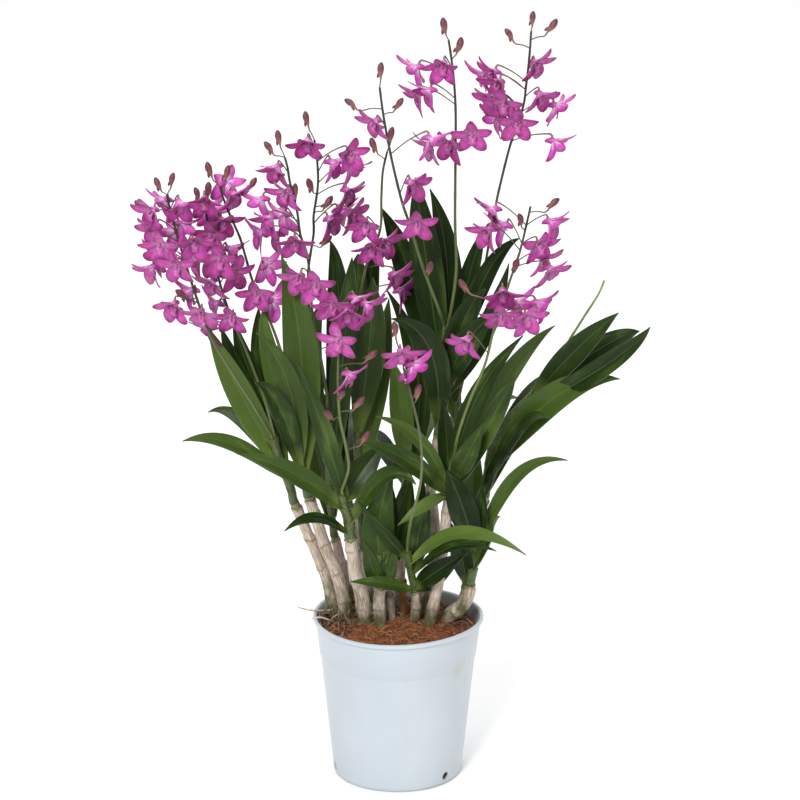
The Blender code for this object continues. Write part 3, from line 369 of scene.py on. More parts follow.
# %% The plan of the stems
STEMS = {
    "left_outer": {
        "foot": (-44, 14),
        "cane": [(-49, 140, 13), (-56, 160, 10), (-64, 180, 7), (-72, 200, 4)],
        "cane_radius": 4.0,
        "top": [(-75, 212, 2), (-82, 230, 0), (-86, 247, -2)],
        "leaves": [
            (0.60, (-116, 243, -12), (-149, 245, -24), 12, 52),
            (0.60, (-108, 260, 24), (-131, 266, 44), 11, 50),
            (0.70, (-110, 283, 4), (-130, 327, 4), 19, 12),
            (0.80, (-101, 290, 12), (-113, 333, 14), 15, 10),
            (0.60, (-92, 294, 22), (-95, 341, 30), 17, 10),
        ],
    },
    "left_inner": {
        "foot": (-34, 4),
        "cane": [(-42, 145, -2), (-50, 165, -6), (-56, 185, -10), (-62, 205, -14)],
        "cane_radius": 4.4,
        "top": [(-66, 222, -17), (-68, 240, -19), (-69, 256, -20)],
        "leaves": [
            (0.55, (-67, 315, -26), (-79, 377, -18), 24, 8),
            (0.55, (-82, 270, -42), (-98, 287, -56), 15, 35),
            (0.60, (-86, 298, -4), (-92, 342, 6), 14, 15),
            (0.66, (-76, 288, -40), (-97, 323, -46), 18, 20),
        ],
    },
    "left_front": {
        "foot": (-22, -6),
        "cane": [(-25, 130, -11), (-29, 145, -16), (-31, 160, -20), (-33, 175, -24)],
        "cane_radius": 5.2,
        "top": [(-34, 186, -27), (-37, 196, -30), (-39, 206, -32)],
        "leaves": [
            (0.75, (-72, 221, -46), (-112, 236, -60), 15, 42),
            (0.60, (-51, 252, -42), (-70, 303, -56), 13, 12),
            (0.50, (-8, 219, -44), (13, 213, -54), 14, 45),
            (0.85, (-25, 222, -18), (-8, 244, -12), 19, 20),
            (0.25, (-57, 188, -46), (-79, 179, -66), 10, 55),
        ],
    },
    "left_back": {
        "foot": (-30, 25),
        "cane": [(-33, 135, 24), (-38, 150, 22), (-44, 175, 18)],
        "cane_radius": 3.6,
        "top": [(-47, 200, 15), (-48, 230, 12), (-46, 262, 8)],
        "leaves": [
            (0.25, (-60, 286, 9), (-49, 350, 6), 18, 20),
            (0.30, (-40, 328, 30), (-46, 388, 34), 18, 8),
            (0.55, (-36, 320, -2), (-31, 376, -10), 16, 12),
            (0.45, (-80, 262, 40), (-106, 266, 62), 14, 50),
            (0.45, (-40, 290, 48), (-52, 312, 84), 14, 70),
        ],
    },
    "centre_back": {
        "foot": (-17, 14),
        "cane": [(-22, 145, 16), (-24, 165, 18)],
        "cane_radius": 3.3,
        "top": [(-26, 200, 21), (-28, 250, 25), (-28, 300, 26)],
        "leaves": [
            (0.80, (-22, 342, 34), (-12, 388, 36), 18, 12),
            (0.66, (-19, 318, 10), (-17, 362, 0), 22, 15),
            (0.45, (-13, 296, 32), (-6, 347, 36), 17, 12),
            (0.40, (-31, 255, 58), (-32, 268, 98), 15, 66),
        ],
    },
    "centre_low": {
        "foot": (-12, -13),
        "cane": [(-13, 125, -16), (-12, 138, -18)],
        "cane_radius": 4.3,
        "top": [(-12, 146, -20), (-13, 154, -22), (-14, 162, -24)],
        "leaves": [
            (0.80, (-13, 186, -30), (-3, 224, -40), 22, 20),
            (0.60, (2, 184, -10), (8, 226, -4), 20, 20),
        ],
    },
    "centre_shoot": {
        "foot": (11, -6),
        "cane": [(13, 124, -9), (12, 134, -11)],
        "cane_radius": 3.4,
        "top": [(10, 145, -14), (8, 154, -18), (7, 163, -22)],
        "leaves": [
            (0.20, (-10, 140, -30), (-33, 141, -40), 9, 40),
            (0.30, (28, 149, -28), (49, 163, -38), 14, 28),
            (0.80, (46, 177, -42), (90, 161, -64), 11, 45),
            (0.55, (38, 167, -52), (69, 164, -78), 9, 50),
            (0.92, (-8, 175, -34), (-28, 201, -50), 9, 20),
            (0.60, (15, 178, -18), (22, 208, -16), 16, 20),
        ],
    },
    "tall_centre": {
        "foot": (19, 7),
        "cane": [(24, 140, 5), (26, 180, 3), (23, 210, 1), (26, 232, 0), (28, 250, -1)],
        "cane_radius": 3.8,
        "top": [(30, 268, -2), (32, 290, -2), (33, 312, 0), (33, 325, 1)],
        "leaves": [
            (0.50, (9, 362, 22), (-11, 411, 26), 20, 10),
            (0.62, (19, 378, 10), (12, 432, 8), 22, 8),
            (0.48, (34, 366, 19), (22, 424, 22), 20, 8),
            (0.50, (47, 356, 8), (60, 398, 8), 14, 8),
            (0.52, (58, 359, -10), (83, 390, -14), 13, 22),
            (0.40, (44, 328, -18), (60, 354, -26), 18, 22),
            (0.50, (48, 317, -24), (69, 338, -34), 18, 22),
            (0.20, (22, 311, -26), (-4, 333, -36), 20, 20),
        ],
    },
    "right_front": {
        "foot": (21, -11),
        "cane": [(27, 132, -15), (31, 160, -19), (34, 190, -23), (36, 205, -24)],
        "cane_radius": 3.9,
        "top": [(37, 214, -25), (38, 222, -26), (39, 231, -27)],
        "leaves": [
            (0.35, (14, 246, -36), (-15, 263, -42), 10, 38),
            (0.15, (4, 232, -50), (-24, 243, -66), 14, 40),
            (0.60, (49, 236, -42), (59, 258, -54), 14, 25),
            (0.40, (34, 246, -14), (31, 274, -12), 13, 12),
            (0.66, (54, 275, -26), (86, 321, -26), 14, 12),
            (0.50, (73, 288, -14), (108, 328, -8), 14, 12),
            (0.30, (65, 261, -46), (81, 291, -64), 15, 22),
            (0.10, (18, 197, -36), (0, 183, -40), 9, 50),
        ],
    },
    "right_low": {
        "foot": (31, 2),
        "cane": [(37, 116, -1), (45, 122, -4), (49, 131, -5), (50, 139, -5)],
        "cane_radius": 5.6,
        "top": [(52, 150, -6), (54, 163, -8), (57, 176, -10)],
        "leaves": [
            (0.70, (57, 190, -18), (58, 212, -26), 12, 15),
            (0.85, (83, 219, -22), (118, 231, -34), 10, 45),
            (0.80, (52, 206, 0), (56, 244, -2), 17, 12),
            (0.50, (66, 180, -30), (70, 190, -48), 9, 50),
            (0.85, (44, 200, -28), (34, 224, -40), 20, 20),
        ],
    },
    "right_outer": {
        "foot": (42, 20),
        "cane": [(49, 135, 19), (51, 158, 17), (55, 180, 15), (61, 205, 12)],
        "cane_radius": 3.9,
        "top": [(63, 225, 9), (67, 245, 6), (78, 262, 4), (90, 275, 2), (100, 287, 0)],
        "leaves": [
            (0.30, (108, 276, -16), (153, 290, -26), 21, 28),
            (0.22, (86, 256, -16), (105, 261, -28), 11, 45),
            (0.14, (77, 241, 22), (90, 249, 34), 10, 45),
            (0.10, (69, 229, -6), (79, 235, -14), 8, 45),
            (0.90, (124, 312, -10), (151, 337, -16), 17, 15),
            (0.84, (138, 311, 12), (166, 324, 24), 17, 28),
            (0.72, (142, 299, -30), (173, 327, -36), 14, 25),
            (0.60, (98, 284, 40), (112, 292, 78), 14, 60),
        ],
    },
    "back_right": {
        "foot": (22, 33),
        "cane": [(30, 160, 37), (36, 200, 36)],
        "cane_radius": 3.5,
        "top": [(39, 225, 34), (41, 250, 32), (42, 272, 30)],
        "leaves": [
            (0.85, (30, 300, 46), (16, 326, 62), 18, 25),
            (0.65, (62, 272, 56), (84, 276, 84), 16, 50),
            (0.45, (44, 262, 70), (52, 268, 110), 15, 72),
        ],
    },
    "back_centre": {
        "foot": (2, 26),
        "cane": [(2, 150, 28), (4, 195, 28)],
        "cane_radius": 3.5,
        "top": [(5, 210, 28), (6, 224, 27), (6, 238, 26)],
        "leaves": [
            (0.92, (3, 264, 20), (2, 292, 14), 15, 10),
            (0.60, (14, 292, 34), (-8, 354, 40), 17, 10),
            (0.75, (22, 262, 60), (32, 272, 96), 14, 68),
            (0.55, (-14, 246, 60), (-28, 250, 98), 14, 66),
        ],
    },
    "back_left": {
        "foot": (-20, 42),
        "cane": [(-26, 160, 50), (-34, 200, 52)],
        "cane_radius": 3.5,
        "top": [(-38, 216, 53), (-41, 230, 53), (-43, 244, 53)],
        "leaves": [
            (0.90, (-56, 275, 66), (-72, 296, 84), 14, 40),
            (0.60, (-70, 245, 74), (-98, 246, 100), 14, 58),
            (0.40, (-40, 240, 84), (-44, 236, 118), 13, 72),
        ],
    },
}

print(len(STEMS), "stems with", sum(len(plan["leaves"]) for plan in STEMS.values()), "leaves")

# %% [markdown]
# And for each flower spray: the stem that carries it, where on that stem's crown it is seated, the way of
# its stalk, and its flowers and buds. A flower's last number is its depth from the stalk.

# %% The plan of the sprays
SPRAYS = {
    "far_left": {
        "on": "left_outer",
        "seat": (-0.9, -1.0),
        "stalk": [(-98, 268, -18), (-116, 298, -24), (-128, 320, -24), (-138, 350, -20), (-146, 378, -16),
                  (-153, 405, -14), (-156, 420, -14)],
        "flowers": [(-160, 415, 6), (-147, 412, -12), (-166, 396, -8), (-151, 393, 16), (-165, 376, 8),
                    (-151, 369, -14), (-138, 386, -10), (-154, 341, -8), (-135, 335, -14)],
        "buds": [(-162, 428, 2), (-152, 431, 0), (-174, 413, -4), (-148, 350, -6)],
    },
    "left_mass": {
        "on": "left_outer",
        "seat": (0.9, 1.0),
        "stalk": [(-92, 275, 6), (-104, 310, 10), (-116, 340, 8), (-124, 370, 4), (-128, 395, 2),
                  (-130, 408, 2)],
        "flowers": [(-127, 391, -12), (-112, 381, 6), (-126, 376, 16), (-128, 357, -14), (-110, 364, -8),
                    (-114, 333, -6), (-126, 410, 8), (-138, 374, 10)],
        "buds": [(-136, 421, 2), (-128, 424, -4)],
    },
    "left": {
        "on": "left_inner",
        "seat": (-1.0, 0.9),
        "stalk": [(-72, 280, -10), (-84, 322, 6), (-98, 357, 6), (-103, 375, 4), (-107, 390, 2),
                  (-112, 402, 0), (-117, 415, -2), (-120, 425, -2)],
        "flowers": [(-109, 418, -8), (-97, 350, -12), (-84, 345, 10), (-88, 370, 14)],
        "buds": [(-127, 438, -2), (-115, 436, 2), (-98, 428, 4)],
    },
    "left_middle": {
        "on": "left_back",
        "seat": (-1.0, -0.7),
        "stalk": [(-52, 300, -4), (-58, 335, -10), (-61, 375, -12), (-66, 392, -12), (-68, 408, -12),
                  (-73, 430, -12), (-74, 438, -12), (-76, 446, -12)],
        "flowers": [(-83, 437, -6), (-94, 415, 4), (-77, 420, -12), (-88, 402, -10), (-84, 391, 10),
                    (-70, 386, -12), (-68, 361, -26)],
        "buds": [(-80, 460, 0), (-87, 453, -2), (-69, 423, 8)],
    },
    "middle": {
        "on": "left_back",
        "seat": (0.9, 0.9),
        "stalk": [(-54, 300, 20), (-60, 335, 20), (-61, 365, 18), (-57, 393, 16), (-57, 405, 16),
                  (-54, 425, 16), (-54, 440, 16), (-56, 458, 16)],
        "flowers": [(-61, 455, -6), (-42, 441, -4), (-30, 437, 10), (-32, 421, -10), (-37, 408, 6),
                    (-44, 402, -12)],
        "buds": [(-61, 473, 0), (-59, 427, -4), (-47, 415, 4), (-48, 388, -4)],
    },
    "front_low": {
        "on": "left_front",
        "seat": (0.6, -0.9),
        "stalk": [(-34, 225, -40), (-36, 242, -45), (-40, 262, -51), (-41, 285, -56), (-41, 310, -58),
                  (-44, 330, -56), (-52, 345, -52), (-60, 352, -50)],
        "flowers": [(-56, 356, -8), (-45, 341, -14), (-27, 345, -4), (-34, 336, -16), (-41, 316, -14),
                    (-31, 291, -4)],
        "buds": [(-48, 264, -8), (-39, 279, -8), (-26, 273, 0), (-22, 248, 0), (-18, 307, 2)],
    },
    "centre": {
        "on": "centre_back",
        "seat": (0.0, 0.0),
        "stalk": [(-27, 335, 16), (-22, 368, 10), (-12, 395, 6), (-11, 418, 6), (-10, 436, 6), (-7, 450, 6)],
        "flowers": [(-22, 398, -12), (-18, 382, -14), (0, 362, -14)],
        "buds": [(-16, 455, 2), (-4, 462, 0)],
    },
    "centre_tall": {
        "on": "tall_centre",
        "seat": (-1.1, -1.2),
        "stalk": [(28, 340, -14), (17, 370, -25), (8, 400, -28), (3, 415, -28), (-3, 440, -28),
                  (-7, 460, -27), (-10, 478, -26), (-12, 494, -26)],
        "flowers": [(-17, 469, -6), (24, 457, -6), (11, 427, -8), (13, 399, -8)],
        "buds": [(-11, 506, 0), (-32, 483, 2), (1, 483, -2), (22, 369, -4)],
    },
    "top_centre": {
        "on": "tall_centre",
        "seat": (1.2, -1.0),
        "stalk": [(37, 342, -5), (40, 368, -5), (39, 400, -2), (39, 440, 2), (39, 475, 6), (38, 495, 8),
                  (36, 513, 8), (34, 526, 8)],
        "flowers": [(30, 508, -12), (11, 506, 4), (19, 490, -4), (50, 461, -18)],
        "buds": [(31, 536, 0), (41, 523, 2)],
    },
    "top_right": {
        "on": "back_right",
        "seat": (0.0, 0.0),
        "stalk": [(48, 305, 28), (57, 355, 24), (66, 410, 18), (70, 430, 16), (76, 455, 14), (84, 480, 12),
                  (86, 495, 12), (88, 515, 12), (89, 532, 12)],
        "flowers": [(62, 503, 0), (62, 486, -8), (65, 472, 4), (80, 469, -12), (97, 487, -6), (108, 480, 6),
                    (107, 455, -2), (94, 509, 0)],
        "buds": [(90, 541, 0), (103, 536, 2), (74, 530, -2)],
    },
    "right": {
        "on": "right_front",
        "seat": (0.0, 0.0),
        "stalk": [(42, 250, -42), (50, 275, -52), (60, 300, -56), (66, 325, -55), (75, 355, -50),
                  (83, 380, -46), (88, 402, -44), (90, 412, -44)],
        "flowers": [(63, 408, 2), (60, 394, -8), (106, 400, -4), (101, 374, 4), (72, 350, -8), (83, 343, 10),
                    (98, 343, -2), (71, 334, -6), (46, 316, -6)],
        "buds": [(106, 414, 2), (83, 403, -8), (81, 371, -8), (45, 357, 0)],
    },
    "front_right": {
        "on": "centre_shoot",
        "seat": (0.0, 0.0),
        "stalk": [(9, 185, -52), (16, 215, -74), (16, 245, -86), (10, 275, -86), (4, 298, -82)],
        "flowers": [(3, 306, -6)],
        "buds": [(-2, 326, 2), (14, 281, 4)],
    },
    "far_right": {
        "on": "right_outer",
        "seat": (0.0, 0.0),
        "stalk": [(109, 302, 2), (118, 318, 4), (128, 335, 4), (137, 350, 4), (141, 360, 4)],
        "flowers": [],
        "buds": [],
    },
}

print(len(SPRAYS), "sprays with", sum(len(plan["flowers"]) for plan in SPRAYS.values()), "flowers")

# %% [markdown]
# A finish is a small chain of nodes. Every one here starts the same way, with a plain shader, and then adds
# colour by noise, by the notes on the points, or by both, and a little bump. These helpers keep each chain
# to a few lines. Nothing in them depends on where the viewer stands.

# %% Helpers for finishes
STRIP_NOISE = 1.5
SHADE_SPREAD = 37.0
GLOW_SHARE = 0.12
GLOW_DEPTH = 0.002


def new_finish(name, roughness, sheen=0.0, coat=0.0, shine=0.5):
    """A finish with a plain shader, and its node tree."""
    finish = bpy.data.materials.new(name)
    finish.use_nodes = True
    shader = finish.node_tree.nodes["Principled BSDF"]
    shader.inputs["Roughness"].default_value = roughness
    shader.inputs["Sheen Weight"].default_value = sheen
    shader.inputs["Coat Weight"].default_value = coat
    shader.inputs["Specular IOR Level"].default_value = shine
    return finish, finish.node_tree, shader


def set_glow(shader, share):
    """Lets some light scatter just under the surface."""
    shader.inputs["Subsurface Weight"].default_value = share
    shader.inputs["Subsurface Scale"].default_value = GLOW_DEPTH


def note_of(tree, label):
    """One of the notes on the points."""
    node = tree.nodes.new("ShaderNodeAttribute")
    node.attribute_name = label
    return node.outputs["Fac"]


def calc(tree, kind, first, second):
    """A sum on two values, each a number or a socket."""
    node = tree.nodes.new("ShaderNodeMath")
    node.operation = kind
    for socket, value in zip(node.inputs, (first, second)):
        if isinstance(value, (int, float)):
            socket.default_value = value
        else:
            tree.links.new(value, socket)
    return node.outputs["Value"]


def scaled(tree, value, factor):
    """A value times a number or another value."""
    return calc(tree, "MULTIPLY", value, factor)


def centred(tree, value):
    """A value from 0 to 1, moved so that it lies evenly about nought."""
    return calc(tree, "SUBTRACT", value, 0.5)


def from_middle(tree):
    """How far a point lies from the middle line of its strip."""
    return calc(tree, "ABSOLUTE", centred(tree, note_of(tree, "across")), 0.0)


def place_of(tree, scale):
    """The point's own place, stretched by a scale for each axis."""
    place = tree.nodes.new("ShaderNodeTexCoord")
    mapping = tree.nodes.new("ShaderNodeMapping")
    mapping.inputs["Scale"].default_value = scale
    tree.links.new(place.outputs["Object"], mapping.inputs["Vector"])
    return mapping.outputs["Vector"]


def strip_place(tree, across, along):
    """A place on a strip, from its notes, so that a pattern runs along it and no two strips match."""
    joined = tree.nodes.new("ShaderNodeCombineXYZ")
    tree.links.new(scaled(tree, note_of(tree, "across"), across), joined.inputs["X"])
    tree.links.new(scaled(tree, note_of(tree, "along"), along), joined.inputs["Y"])
    tree.links.new(scaled(tree, note_of(tree, "shade"), SHADE_SPREAD), joined.inputs["Z"])
    return joined.outputs["Vector"]


def mottle(tree, place, scale, detail=3.0, roughness=0.55):
    """Soft noise at a place."""
    node = tree.nodes.new("ShaderNodeTexNoise")
    node.inputs["Scale"].default_value = scale
    node.inputs["Detail"].default_value = detail
    node.inputs["Roughness"].default_value = roughness
    tree.links.new(place, node.inputs["Vector"])
    return node.outputs["Fac"]


def ramp(tree, value, *stops):
    """Colours along a value; each stop is a place and a colour."""
    node = tree.nodes.new("ShaderNodeValToRGB")
    line = node.color_ramp
    while len(line.elements) < len(stops):
        line.elements.new(0.5)
    for element, (spot, colour) in zip(line.elements, stops):
        element.position = spot
        element.color = (*colour, 1.0)
    tree.links.new(value, node.inputs["Fac"])
    return node.outputs["Color"]


def fade(tree, value, start, first, stop, last):
    """A share that passes from its first strength to its last between two places on a value."""
    return ramp(tree, value, (start, (first, first, first)), (stop, (last, last, last)))


def blend_of(tree, share, first, second):
    """Two colours mixed by a share; each may be a plain colour or a socket."""
    node = tree.nodes.new("ShaderNodeMix")
    node.data_type = "RGBA"
    sockets = {"Factor_Float": share, "A_Color": first, "B_Color": second}
    for socket in node.inputs:
        value = sockets.get(socket.identifier)
        if isinstance(value, tuple):
            socket.default_value = (*value, 1.0)
        elif value is not None:
            tree.links.new(value, socket)
    return next(socket for socket in node.outputs if socket.identifier == "Result_Color")


def set_colour(tree, shader, colour):
    """Gives the shader its colour."""
    tree.links.new(colour, shader.inputs["Base Color"])


def set_bump(tree, shader, height, strength, distance):
    """Raises the surface a little by a value; the distance is in metres."""
    node = tree.nodes.new("ShaderNodeBump")
    node.inputs["Strength"].default_value = strength
    node.inputs["Distance"].default_value = distance
    tree.links.new(height, node.inputs["Height"])
    tree.links.new(node.outputs["Normal"], shader.inputs["Normal"])


print("helpers for finishes ready")

# %% [markdown]
# A dendrobium leaf is thick and satin, dark green on top and paler and greyer beneath. Fine veins run along
# it, a pale rib marks its middle, its foot is yellow-green, and no two leaves are quite the same green. The
# veins are noise drawn out along the leaf. The noise reads the notes, so it bends with every leaf.

# %% The leaf finishes
LEAF_VEINS = 34.0
LEAF_FOOT = (0.20, 0.26, 0.06)
LEAF_DRY = (0.16, 0.09, 0.03)


def leaf_finish(name, dark, middle, light, roughness, shine):
    """A veined leaf surface from three greens."""
    finish, tree, shader = new_finish(name, roughness, shine=shine)
    along = note_of(tree, "along")
    own = note_of(tree, "shade")
    blotch = mottle(tree, strip_place(tree, 1.6, 2.2), STRIP_NOISE)
    green = ramp(tree, blotch, (0.32, dark), (0.56, middle), (0.90, light))
    veins = mottle(tree, strip_place(tree, LEAF_VEINS, 1.0), STRIP_NOISE, 2.0)
    green = blend_of(tree, scaled(tree, veins, 0.22), green, light)
    deep = calc(tree, "POWER", calc(tree, "SUBTRACT", 1.0, own), 2.0)
    green = blend_of(tree, scaled(tree, deep, 0.6), green, dark)
    bright = calc(tree, "POWER", own, 4.0)
    green = blend_of(tree, scaled(tree, bright, 0.72), green, light)
    foot = fade(tree, along, 0.0, 0.55, 0.16, 0.0)
    green = blend_of(tree, foot, green, LEAF_FOOT)
    rib = fade(tree, from_middle(tree), 0.0, 0.45, 0.028, 0.0)
    green = blend_of(tree, rib, green, light)
    dry = fade(tree, scaled(tree, along, own), 0.93, 0.0, 0.97, 0.8)
    green = blend_of(tree, dry, green, LEAF_DRY)
    set_colour(tree, shader, green)
    set_bump(tree, shader, veins, 0.35, 0.0003)
    return finish


leaf_top = leaf_finish(
    "leaf_top", dark=(0.001, 0.006, 0.001), middle=(0.010, 0.030, 0.004), light=(0.110, 0.175, 0.032),
    roughness=0.27, shine=0.15,
)
leaf_under = leaf_finish(
    "leaf_under", dark=(0.004, 0.014, 0.003), middle=(0.021, 0.045, 0.011), light=(0.115, 0.165, 0.055),
    roughness=0.40, shine=0.14,
)
print("leaf finishes:", leaf_top.name, leaf_under.name)

# %% [markdown]
# The petals are a strong magenta: almost white-pink where they meet, full magenta along the blade, and dark
# plum at the tip. Darker veins run out along them and their edges are darker too. Real petals glow a little
# where light comes through, so the shader scatters some light under the surface, by a plain number on its
# own socket.

# %% The petal finishes
PETAL_VEINS = 16.0


def petal_finish(name, heart, blade, tip, vein):
    """A petal that passes from its pale heart through its blade colour to a dark tip."""
    finish, tree, shader = new_finish(name, 0.52, sheen=0.12)
    set_glow(shader, GLOW_SHARE)
    waver = mottle(tree, strip_place(tree, 3.0, 3.0), 1.4)
    reach = calc(tree, "ADD", note_of(tree, "along"), scaled(tree, centred(tree, waver), 0.35))
    colour = ramp(tree, reach, (0.09, heart), (0.45, blade), (0.69, blade), (0.93, tip))
    edge = fade(tree, from_middle(tree), 0.20, 0.0, 0.50, 0.85)
    colour = blend_of(tree, edge, colour, vein)
    veins = mottle(tree, strip_place(tree, PETAL_VEINS, 1.0), STRIP_NOISE, 2.0)
    lines = fade(tree, veins, 0.44, 0.0, 0.60, 0.75)
    colour = blend_of(tree, lines, colour, vein)
    colour = blend_of(tree, scaled(tree, note_of(tree, "shade"), 0.28), colour, vein)
    set_colour(tree, shader, colour)
    set_bump(tree, shader, veins, 0.3, 0.0002)
    return finish


petal = petal_finish(
    "petal_front", heart=(0.97, 0.72, 0.95), blade=(0.66, 0.068, 0.54), tip=(0.12, 0.006, 0.045),
    vein=(0.30, 0.017, 0.20),
)
petal_back = petal_finish(
    "petal_back", heart=(0.66, 0.34, 0.56), blade=(0.55, 0.062, 0.41), tip=(0.10, 0.008, 0.036),
    vein=(0.27, 0.020, 0.17),
)
lip = petal_finish(
    "lip", heart=(0.92, 0.80, 0.88), blade=(0.58, 0.14, 0.44), tip=(0.18, 0.009, 0.10),
    vein=(0.30, 0.03, 0.20),
)
print("petal finishes:", petal.name, petal_back.name, lip.name)

# %% [markdown]
# A flower stalk is green near its leafy top and dark olive-brown above; its shade note says how far up the
# green goes. The small stalk of each flower starts olive and turns rose where it meets the flower. A bud is
# pale green at its foot and deep plum at its point. The young stalk at the far right is fresh green.

# %% The stalk and bud finishes
stalk, tree, shader = new_finish("stalk", 0.5)
speckle = mottle(tree, place_of(tree, (260.0, 260.0, 120.0)), 1.0)
climb = calc(tree, "SUBTRACT", note_of(tree, "along"), scaled(tree, note_of(tree, "shade"), 0.5))
rising = ramp(
    tree, climb, (0.0, (0.13, 0.17, 0.045)), (0.30, (0.085, 0.100, 0.034)), (0.50, (0.034, 0.032, 0.018)),
    (1.0, (0.040, 0.024, 0.020)),
)
set_colour(tree, shader, blend_of(tree, scaled(tree, speckle, 0.5), rising, (0.020, 0.018, 0.010)))
set_bump(tree, shader, speckle, 0.3, 0.0002)

pedicel, tree, shader = new_finish("pedicel", 0.5)
path = ramp(
    tree, note_of(tree, "along"), (0.10, (0.060, 0.052, 0.030)), (0.60, (0.110, 0.075, 0.050)),
    (0.86, (0.19, 0.10, 0.075)), (0.98, (0.40, 0.12, 0.22)),
)
set_colour(tree, shader, path)

bud_skin, tree, shader = new_finish("bud_skin", 0.45, sheen=0.1)
set_glow(shader, 0.15)
rose = ramp(
    tree, note_of(tree, "along"), (0.04, (0.19, 0.18, 0.07)), (0.28, (0.21, 0.090, 0.065)),
    (0.58, (0.125, 0.020, 0.038)), (0.92, (0.040, 0.006, 0.012)),
)
ribs = mottle(tree, strip_place(tree, 9.0, 1.0), STRIP_NOISE)
set_colour(tree, shader, blend_of(tree, scaled(tree, ribs, 0.25), rose, (0.22, 0.05, 0.08)))
set_bump(tree, shader, ribs, 0.3, 0.0003)

young_green, tree, shader = new_finish("young_green", 0.45)
fresh = mottle(tree, place_of(tree, (150.0, 150.0, 60.0)), 1.0)
set_colour(tree, shader, ramp(tree, fresh, (0.3, (0.10, 0.17, 0.03)), (0.7, (0.23, 0.33, 0.08))))
print("stalk finishes:", stalk.name, pedicel.name, bud_skin.name, young_green.name)

# %% [markdown]
# Old canes wear dead leaf sheaths: papery, pale beige with a pink cast, streaked with brown along the cane
# and stained green at the foot. Again the streaks are noise drawn out along the notes. The upper end of each
# sheath is darker where it tore. The stain reads the height above the table, with noise to make it patchy.

# %% The sheath and stump finishes
def sheath_finish(name, pale, warm, brown, foot):
    """A papery sheath with brown streaks along it."""
    finish, tree, shader = new_finish(name, 0.72)
    broad = mottle(tree, strip_place(tree, 4.0, 1.6), STRIP_NOISE, 3.0)
    fine = mottle(tree, strip_place(tree, 22.0, 2.2), STRIP_NOISE, 3.0)
    colour = ramp(tree, broad, (0.34, warm), (0.60, pale))
    colour = blend_of(tree, fade(tree, fine, 0.47, 0.0, 0.66, 0.90), colour, brown)
    torn = fade(tree, note_of(tree, "along"), 0.90, 0.0, 1.0, 0.6)
    colour = blend_of(tree, torn, colour, brown)
    height = tree.nodes.new("ShaderNodeSeparateXYZ")
    tree.links.new(place_of(tree, (1.0, 1.0, 1.0)), height.inputs["Vector"])
    patchy = mottle(tree, place_of(tree, (120.0, 120.0, 70.0)), 1.0, 4.0)
    low = calc(tree, "SUBTRACT", height.outputs["Z"], scaled(tree, centred(tree, patchy), 0.10))
    stain = fade(tree, scaled(tree, low, 5.0), 0.56, 0.92, 0.70, 0.0)
    colour = blend_of(tree, stain, colour, foot)
    set_colour(tree, shader, colour)
    set_bump(tree, shader, fine, 0.6, 0.0006)
    return finish


sheath = sheath_finish(
    "sheath", pale=(0.60, 0.52, 0.43), warm=(0.47, 0.37, 0.29), brown=(0.17, 0.105, 0.065),
    foot=(0.070, 0.078, 0.018),
)
grey_sheath = sheath_finish(
    "grey_sheath", pale=(0.44, 0.42, 0.40), warm=(0.36, 0.28, 0.22), brown=(0.12, 0.08, 0.05),
    foot=(0.15, 0.12, 0.07),
)
orange_sheath = sheath_finish(
    "orange_sheath", pale=(0.52, 0.21, 0.045), warm=(0.42, 0.15, 0.03), brown=(0.16, 0.06, 0.02),
    foot=(0.15, 0.08, 0.03),
)

cane_skin, tree, shader = new_finish("cane_skin", 0.5)
skin = mottle(tree, strip_place(tree, 8.0, 3.0), STRIP_NOISE)
set_colour(tree, shader, ramp(tree, skin, (0.30, (0.10, 0.12, 0.04)), (0.70, (0.26, 0.25, 0.11))))
set_bump(tree, shader, skin, 0.5, 0.0005)

green_stem, tree, shader = new_finish("green_stem", 0.45)
skin = mottle(tree, strip_place(tree, 6.0, 3.0), STRIP_NOISE)
set_colour(tree, shader, ramp(tree, skin, (0.30, (0.022, 0.045, 0.008)), (0.70, (0.11, 0.14, 0.04))))
set_bump(tree, shader, skin, 0.3, 0.0003)
print("sheath finishes:", sheath.name, grey_sheath.name, orange_sheath.name, cane_skin.name, green_stem.name)

# %% [markdown]
# The medium is coir with bark. Loose coir fibres range from straw through orange-brown to nearly black, so
# the shade note of each fibre picks its colour. Under them lies a dark crumbly mound. Bark is a deep
# red-brown with a rough, cracked face. The roots are of two kinds, fine mossy brown ones and thick pale
# ones.

# %% The medium finishes
coir, tree, shader = new_finish("coir", 0.85)
fibre_colour = ramp(
    tree, note_of(tree, "shade"), (0.05, (0.030, 0.011, 0.006)), (0.30, (0.15, 0.042, 0.015)),
    (0.65, (0.34, 0.115, 0.035)), (0.92, (0.48, 0.23, 0.10)), (1.0, (0.62, 0.47, 0.31)),
)
set_colour(tree, shader, fibre_colour)

crumb, tree, shader = new_finish("crumb", 0.95)
grain = mottle(tree, place_of(tree, (420.0, 420.0, 420.0)), 1.0, 6.0, 0.7)
earth = ramp(
    tree, grain, (0.30, (0.018, 0.008, 0.005)), (0.55, (0.09, 0.030, 0.013)), (0.75, (0.19, 0.07, 0.03)),
)
set_colour(tree, shader, earth)
set_bump(tree, shader, grain, 1.0, 0.0015)

bark, tree, shader = new_finish("bark", 0.85)
crack = mottle(tree, place_of(tree, (320.0, 320.0, 700.0)), 1.0, 6.0, 0.65)
split = ramp(
    tree, crack, (0.32, (0.012, 0.006, 0.005)), (0.55, (0.060, 0.019, 0.014)), (0.78, (0.14, 0.055, 0.035)),
)
set_colour(tree, shader, split)
set_bump(tree, shader, crack, 1.0, 0.0012)

